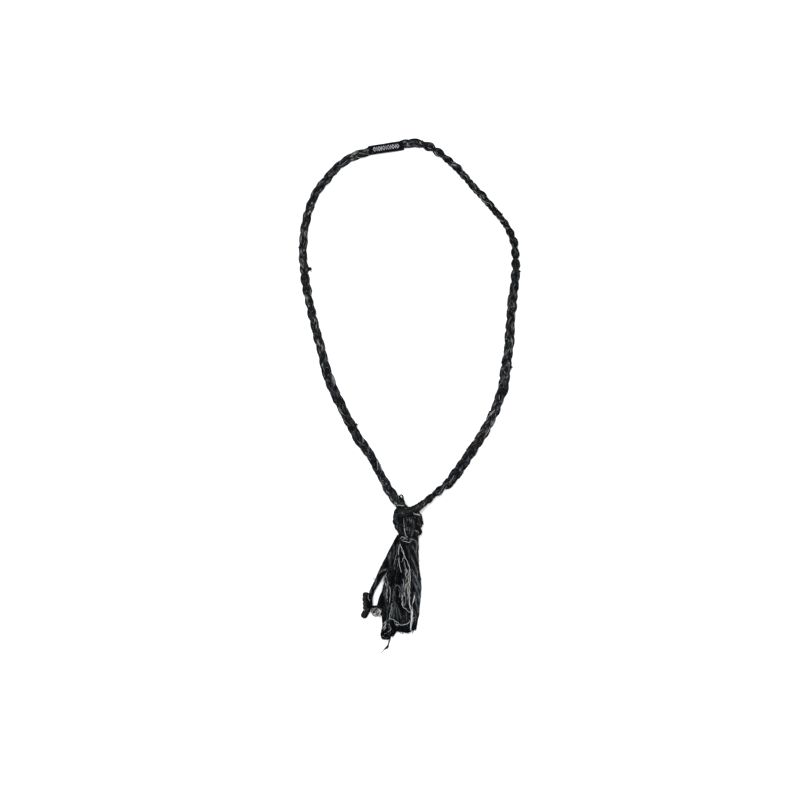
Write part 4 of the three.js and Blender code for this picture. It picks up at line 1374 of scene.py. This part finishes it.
def band(name, section_count, rings, point_at, map_at):
    """A closed thin band: an outer and an inner skin over the same places, joined along all four edges."""
    points, maps = [], []
    for ring in range(rings):
        for skin in (0, 1):
            order = range(section_count) if skin == 0 else reversed(range(section_count))
            for i in order:
                points.append(point_at(ring, i, skin))
                maps.append(map_at(ring, i))
    loop = 2 * section_count
    faces = []
    for ring in range(rings - 1):
        a, b = ring * loop, (ring + 1) * loop
        faces += [(a + i, a + (i + 1) % loop, b + (i + 1) % loop, b + i) for i in range(loop)]
    for start, flip in ((0, True), ((rings - 1) * loop, False)):
        for i in range(section_count - 1):
            face = (start + i, start + i + 1, start + loop - 2 - i, start + loop - 1 - i)
            faces.append(face[::-1] if flip else face)
    made = piece_of(name, points, faces)
    layer = made.data.uv_layers.new(name="thread_map")
    layer.data.foreach_set("uv", np.array(maps, np.float32)[corners_of(made.data)].ravel())
    made.data.shade_smooth()
    return made


def label_sleeve():
    """The woven tape folded round the plait: it laps over itself, and one layer stands back at its end."""
    count, rings = LABEL["around"], LABEL["rings"]
    half_width, half_height, cloth = LABEL["width"] / 2, LABEL["height"] / 2, LABEL["cloth"]
    overlap, squareness, first = LABEL["overlap"], LABEL["squareness"], math.radians(LABEL["first"])
    turn = math.radians(LABEL["turn"])
    ahead = np.array([math.cos(turn), math.sin(turn), 0])
    aside = np.array([-math.sin(turn), math.cos(turn), 0])
    centre = np.array([*LABEL["centre"], half_height + 0.1])
    sweep = 2 * math.pi * (1 + overlap)
    wobble = [drift(np.linspace(0, LABEL["length"], rings), 7, 60 + k) for k in range(3)]

    def point_at(ring, i, skin):
        share = i / (count - 1)
        angle = first + sweep * share
        lapped = max(0.0, share * (1 + overlap) - 1) / overlap
        right, up = abs(math.cos(angle)) / half_width, abs(math.sin(angle)) / half_height
        soft = right ** squareness + up ** squareness
        radius = soft ** (-1 / squareness) + 0.62 * min(1.0, lapped * 4) - (cloth if skin else 0.0)
        radius += (0.10 * wobble[0][ring] * math.cos(2 * angle)
                   + 0.08 * wobble[1][ring] * math.sin(3 * angle))
        place = ring / (rings - 1)
        hem = 1 - 0.05 * math.exp(-min(place, 1 - place) * 26)
        back = 1.1 * (lapped > 0) * max(0.0, 1 - place * 3)
        run_at = (place - 0.5) * LABEL["length"] + back + 0.25 * wobble[2][i % rings] * (2 * place - 1)
        spot = (centre + ahead * run_at + aside * radius * hem * math.cos(angle)
                + UP * radius * hem * math.sin(angle))
        spot[2] = max(spot[2], RESTING / MM)
        return spot * MM

    def map_at(ring, i):
        return (i / (count - 1) * sweep * 4.1 * MM, ring / (rings - 1) * LABEL["length"] * MM)

    made = band("label_tape_fold", count, rings, point_at, map_at)
    edge = np.zeros(len(made.data.vertices), np.float32)
    for v in range(len(edge)):
        place = (v // (2 * count)) / (rings - 1)
        edge[v] = 1 - min(place, 1 - place) * 14
    layer = made.data.attributes.new("edge", "FLOAT", "POINT")
    layer.data.foreach_set("value", np.clip(edge, 0, 1))
    return made, ahead, aside


def sewn(name, lines, tree, **sizes):
    """Lines of stitches as one piece."""
    points, edges = chained(lines)
    return shaped(piece_of(name, points * MM, edges=edges), tree, **sizes)


def lozenge_row(count, first, pitch, half_length, half_width):
    """A row of lozenges, with a bar between each two."""
    figures = []
    for k in range(count):
        at = first + pitch * k
        corners = [(at - half_length, 0.0), (at, half_width), (at + half_length, 0.0), (at, -half_width)]
        figures += [[corners[i], corners[(i + 1) % 4]] for i in range(4)]
        if k < count - 1:
            figures += [[(at + pitch / 2, -half_width), (at + pitch / 2, half_width)]]
    return figures


def label_lines(lay, ahead, aside, figures):
    """Straight lines on the label's cloth, each between two places given along and across its top."""
    centre = np.array([*LABEL["centre"], 0.0])
    found = []
    for figure in figures:
        dense = np.linspace((*figure[0], 0), (*figure[1], 0), 8)
        line = centre + ahead * dense[:, :1] + aside * dense[:, 1:2]
        line[:, 2] = [lay.height(x, y) + 0.02 for x, y, _ in line]
        found.append(line)
    return found


stage_set()
strip_tree, loose_tree, sewing_tree = cloth_strip_tree(), fibre_tree(), stitch_tree()
groups = weave_group(), gathers_group(), wear_and_highlight_group()

braid_cloth = cloth_material(
    "braid cloth", groups, dark=(0.0112, 0.0126, 0.0138), painted_shade=(0.0020, 0.0025, 0.0030),
    crest=(0.066, 0.072, 0.076), faded=(0.098, 0.105, 0.109), navy=(0.0072, 0.0090, 0.0136),
    warm=(0.0165, 0.0142, 0.0120), reach=0.40, lift=0.47, crease_width=0.8, painted_crease_shade=0.1)
knot_cloth = cloth_material(
    "knot cloth", groups, dark=(0.0100, 0.0112, 0.0112), painted_shade=(0.0016, 0.0020, 0.0022),
    crest=(0.058, 0.064, 0.065), faded=(0.108, 0.116, 0.118), navy=(0.0070, 0.0090, 0.0130),
    warm=(0.0150, 0.0132, 0.0110), reach=0.52, patches=190.0, lift=0.08, painted_crease_shade=0.3)
tassel_cloth = cloth_material(
    "tassel cloth", groups, dark=(0.0050, 0.0060, 0.0068), painted_shade=(0.0008, 0.0011, 0.0014),
    crest=(0.039, 0.045, 0.048), faded=(0.172, 0.188, 0.191), navy=(0.0040, 0.0052, 0.0082),
    warm=(0.0100, 0.0084, 0.0072), reach=0.24, edge_wear=0.4, lift=-0.08, crease_width=1.5, painted_crease_shade=0.3)
label_cloth = cloth_material(
    "label tape", groups, dark=(0.0050, 0.0060, 0.0088), painted_shade=(0.0022, 0.0026, 0.0042),
    crest=(0.016, 0.018, 0.024), faded=(0.05, 0.055, 0.065), navy=(0.0046, 0.0058, 0.0110),
    warm=(0.0070, 0.0070, 0.0085), reach=0.2, edge_wear=0.5, yarn=0.26, relief=0.06, creasing=0.03)
white_cotton = cloth_material(
    "white cotton", groups, dark=(0.56, 0.56, 0.54), painted_shade=(0.40, 0.40, 0.39), crest=(0.70, 0.70, 0.68),
    faded=(0.80, 0.80, 0.78), navy=(0.50, 0.51, 0.53), warm=(0.54, 0.51, 0.45), yarn=0.35, creasing=0.15)
frayed_yarn = yarn_material("frayed yarn", (0.010, 0.011, 0.012), (0.60, 0.61, 0.60), 0.76)
label_thread = yarn_material("label thread", (0.31, 0.32, 0.34), (0.66, 0.67, 0.68), 0.45)
seam_thread = yarn_material("seam thread", (0.008, 0.009, 0.013), (0.03, 0.032, 0.04), 0.6)

# the plait, with the frayed threads along it and the strip ends that stand out of it
middle, plait_length, strands = plait_strands()
worn = worn_places(strands, plait_length / MM, FRAYED_STRETCHES, 12)
rubbed = [(spread + RUBBED_BESIDE, RUBBED_SHARE * paleness, places) for spread, paleness, places in worn]
plait = cloth_piece(
    "plait", strands, strip_tree, marks=PLAIT_HIGHLIGHTS + rubbed, sides=STRAND_SIDES, pleats=1.5,
    pleat_depth=0.85, pleat_length=9, twist=45.0, crumple_size=2.2, crumple_depth=0.55, seed=3.0,
    material=braid_cloth)
on_plait = Lay(plait)
plait_ends = cloth_piece(
    "plait_ends", [tuft(*row) for row in TUFTS], strip_tree, sides=18, pleats=1.6, pleat_depth=0.5,
    crumple_size=1.4, crumple_depth=0.4, seed=8.0, material=braid_cloth)
frays = surface_threads(strands, PLAIT_THREADS, PLAIT_THREAD, 11) + frayed_patches(on_plait, worn, 12)
plait_fray = cloth_piece(
    "plait_fray", frays, strip_tree, sides=5, pleat_depth=0.0, crumple_depth=0.0, material=frayed_yarn)

# the knot
knot = cloth_piece(
    "knot_turns", [strip(rows, tone, step=0.3, start=2.5, end=2.5) for tone, rows in KNOT_TURNS],
    strip_tree, marks=KNOT_HIGHLIGHTS, sides=64, pleats=2.6, pleat_depth=1.5, pleat_length=11, twist=30.0,
    crumple_size=2.4, crumple_depth=1.5, seed=21.0, material=knot_cloth)
knot_lobes = cloth_piece(
    "knot_lobes", [strand for row in KNOT_LOBES for strand in plaited_lobe(*row)], strip_tree,
    marks=KNOT_HIGHLIGHTS, sides=30, pleats=1.6, pleat_depth=0.8, pleat_length=7, twist=60.0, crumple_size=1.8,
    crumple_depth=0.9, seed=27.0, material=knot_cloth)
neck_wraps = cloth_piece(
    "neck_wraps", [strip(rows, tone, step=0.35, start=1.5, end=1.5) for tone, rows in NECK_WRAPS],
    strip_tree, marks=FOLD_HIGHLIGHTS + KNOT_HIGHLIGHTS, sides=28, pleats=1.8, pleat_depth=0.7, pleat_length=6,
    twist=90.0, crumple_size=1.6, crumple_depth=0.8, seed=24.0, material=knot_cloth)
loop_points, loop_radius = run(SMALL_LOOP, 0.3)
small_loop = cloth_piece(
    "small_loop", [thread(loop_points, loop_radius[:, 0], 0.2, taper=1.0)], strip_tree, sides=14,
    pleat_depth=0.0, crumple_size=0.8, crumple_depth=0.0, material=tassel_cloth)

# the tassel
ribbons = [strip(rows, tone, step=0.55, thickness=thickness, start=2, end=0.9, torn=1.6)
           for tone, thickness, rows in TASSEL_RIBBONS]
tassel = cloth_piece(
    "tassel_strips", ribbons, strip_tree, marks=FOLD_HIGHLIGHTS, sides=44, pleats=2.4, pleat_depth=1.5,
    pleat_length=30, twist=14.0, waves=2.4, wave_height=3.6, wave_length=24, crumple_size=2.6,
    crumple_depth=0.9, ragged_edge=1.2, seed=33.0, material=tassel_cloth)
twisted_strip = cloth_piece(
    "twisted_strip", twisted_strands(*TWISTED_STRIP), strip_tree, marks=FOLD_HIGHLIGHTS, sides=30, pleats=1.3,
    pleat_depth=0.8, pleat_length=12, twist=10.0, crumple_size=2.6, crumple_depth=0.6, seed=37.0,
    material=tassel_cloth)
stray_tone, stray_thickness, stray_rows = STRAY_RIBBON
stray_ribbon = strip(stray_rows, stray_tone, thickness=stray_thickness, start=0.8, end=2)
stray_roll = strip(STRAY_ROLL[1], STRAY_ROLL[0], step=0.25, start=0.8, end=2)
ribs = 1 - 0.16 * np.cos(math.pi * (stray_roll["along"] - 4.4 * MM) / (4.0 * MM)) ** 8
stray_roll["half_width"] *= ribs
stray_roll["half_thickness"] *= ribs
stray_tip = strip(STRAY_TIP[1], STRAY_TIP[0], step=0.3, start=2, end=2.6)
stray = cloth_piece(
    "stray_ribbon", [stray_ribbon, stray_roll, stray_tip], strip_tree, marks=FOLD_HIGHLIGHTS, sides=30,
    pleats=2.0, pleat_depth=0.6, pleat_length=12, twist=10.0, waves=1.6, wave_height=0.8, crumple_size=2.0,
    crumple_depth=0.5, seed=41.0, material=tassel_cloth)
bundle = cloth_piece(
    "frayed_bundle", [strip(rows, tone, step=0.3, start=2, end=2) for tone, rows in FRAYED_BUNDLE],
    strip_tree, sides=30, pleats=2.6, pleat_depth=1.0, pleat_length=8, crumple_size=1.8, crumple_depth=0.8,
    seed=45.0, material=tassel_cloth)
strand_points, strand_radius = run(LOOSE_STRAND, 0.35)
loose_strand = cloth_piece(
    "loose_end", [thread(strand_points, strand_radius[:, 0], 0.0)], strip_tree, sides=14, pleat_depth=0.0,
    crumple_depth=0.0, material=tassel_cloth)

on_tassel = Lay(tassel, twisted_strip, stray, bundle, knot, knot_lobes, neck_wraps, plait)
raised = cloth_piece(
    "raised_folds", raised_folds(on_tassel, FOLD_HIGHLIGHTS[:RAISED]), strip_tree, marks=FOLD_HIGHLIGHTS, sides=18,
    pleats=1.4, pleat_depth=0.25, pleat_length=6, crumple_size=1.3, crumple_depth=0.45, seed=51.0,
    material=tassel_cloth)
pale_threads = []
for radius, paleness, places in PALE_THREADS:
    fine = FINER * radius
    pale_threads.append(thread(on_tassel.along(places, fine, step=0.4), fine, paleness, crinkle=CRINKLE))
pale_threads += loose_net(on_tassel, NETS, 97)
pale_threads += frayed_mass(Lay(bundle), seed=99, **BUNDLE_CURLS)
for k, (_, _, rows) in enumerate(TASSEL_RIBBONS):
    pale_threads += end_fringe(rows, 70 + k)
pale_threads += raw_edges(ribbons + [stray_ribbon], 90)
pale_threads += hair_tufts(HAIR_TUFTS, on_tassel, 95)
tassel_threads = cloth_piece(
    "tassel_threads", pale_threads, strip_tree, sides=6, pleat_depth=0.0, crumple_depth=0.0,
    material=frayed_yarn)
ribbon_x, ribbon_y, ribbon_width = np.array(WHITE_RIBBON).T
ribbon_points = on_tassel.along(list(zip(ribbon_x, ribbon_y)), 0.3, sink=0.0, slack=2.0)
ribbon_width = np.interp(-ribbon_points[:, 1], -ribbon_y, ribbon_width)
ribbon_rows = [(*p, w, 0.24, 14 * math.sin(p[1])) for p, w in zip(ribbon_points, ribbon_width)]
white_ribbon = cloth_piece(
    "white_ribbon", [strip(ribbon_rows, 0.5, step=0.35, start=1, end=0.5, torn=1.2)], strip_tree, sides=18,
    pleat_depth=0.0, waves=1.4, wave_height=0.35, wave_length=5, crumple_size=1.2, crumple_depth=0.12,
    ragged_edge=1.5, seed=61.0, material=white_cotton)

# the label, with a plain row of lozenges, a bar between each two, and its seams
label, label_ahead, label_aside = label_sleeve()
label.data.materials.append(label_cloth)
on_label = Lay(label)
figures = label_lines(on_label, label_ahead, label_aside, lozenge_row(**LOZENGES))
motif = sewn("label_motif", figures, sewing_tree, pitch=0.26, length=0.52, thickness=0.26, slant=0.35,
             material=label_thread)
left, right, hem, across = SEAMS["left"], SEAMS["right"], SEAMS["hem"], SEAMS["across"]
seams = [[(at, -across), (at, across)] for at in (left, right)]
seams += [[(left, side), (right, side)] for side in (hem, -hem)]
seams = label_lines(on_label, label_ahead, label_aside, seams)
seam = sewn("label_seams", seams, sewing_tree, pitch=1.25, length=0.95, thickness=0.26, slant=math.pi / 2,
            material=seam_thread)

# fine fibres standing out of the cloth everywhere
fibres = []
for name, source, density, length, seed in (
    ("plait_fibres", plait, 42000.0, 2.2, 1), ("tassel_fibres", tassel, 30000.0, 2.6, 2),
    ("knot_fibres", knot, 60000.0, 2.2, 3),
):
    made = piece_of(name, [])
    made.data = source.data.copy()
    fibres.append(shaped(made, loose_tree, density=density, length=length, seed=seed, material=frayed_yarn))

joins(plait, "braid_cloth", "braid")
joins(plait_ends, "braid_cloth")
joins(plait_fray, "strand")
joins(knot, "braid_cloth", "knot")
joins(knot_lobes, "braid_cloth")
joins(neck_wraps, "braid_cloth")
joins(small_loop, "braid_cloth")
joins(tassel, "tassel_cloth", "tassel")
joins(twisted_strip, "tassel_cloth")
joins(stray, "tassel_cloth", "stray_strip")
joins(bundle, "tassel_cloth")
joins(loose_strand, "strand", "loose_strand")
joins(raised, "tassel_cloth")
joins(tassel_threads, "strand")
joins(white_ribbon, "tassel_cloth")
joins(label, "label_tape", "neck_label")
joins(motif, "label_tape")
joins(seam, "label_tape")
for piece in fibres:
    joins(piece, "strand")

tuple(middle[0])
[tuple(p) for p in middle[::3]]
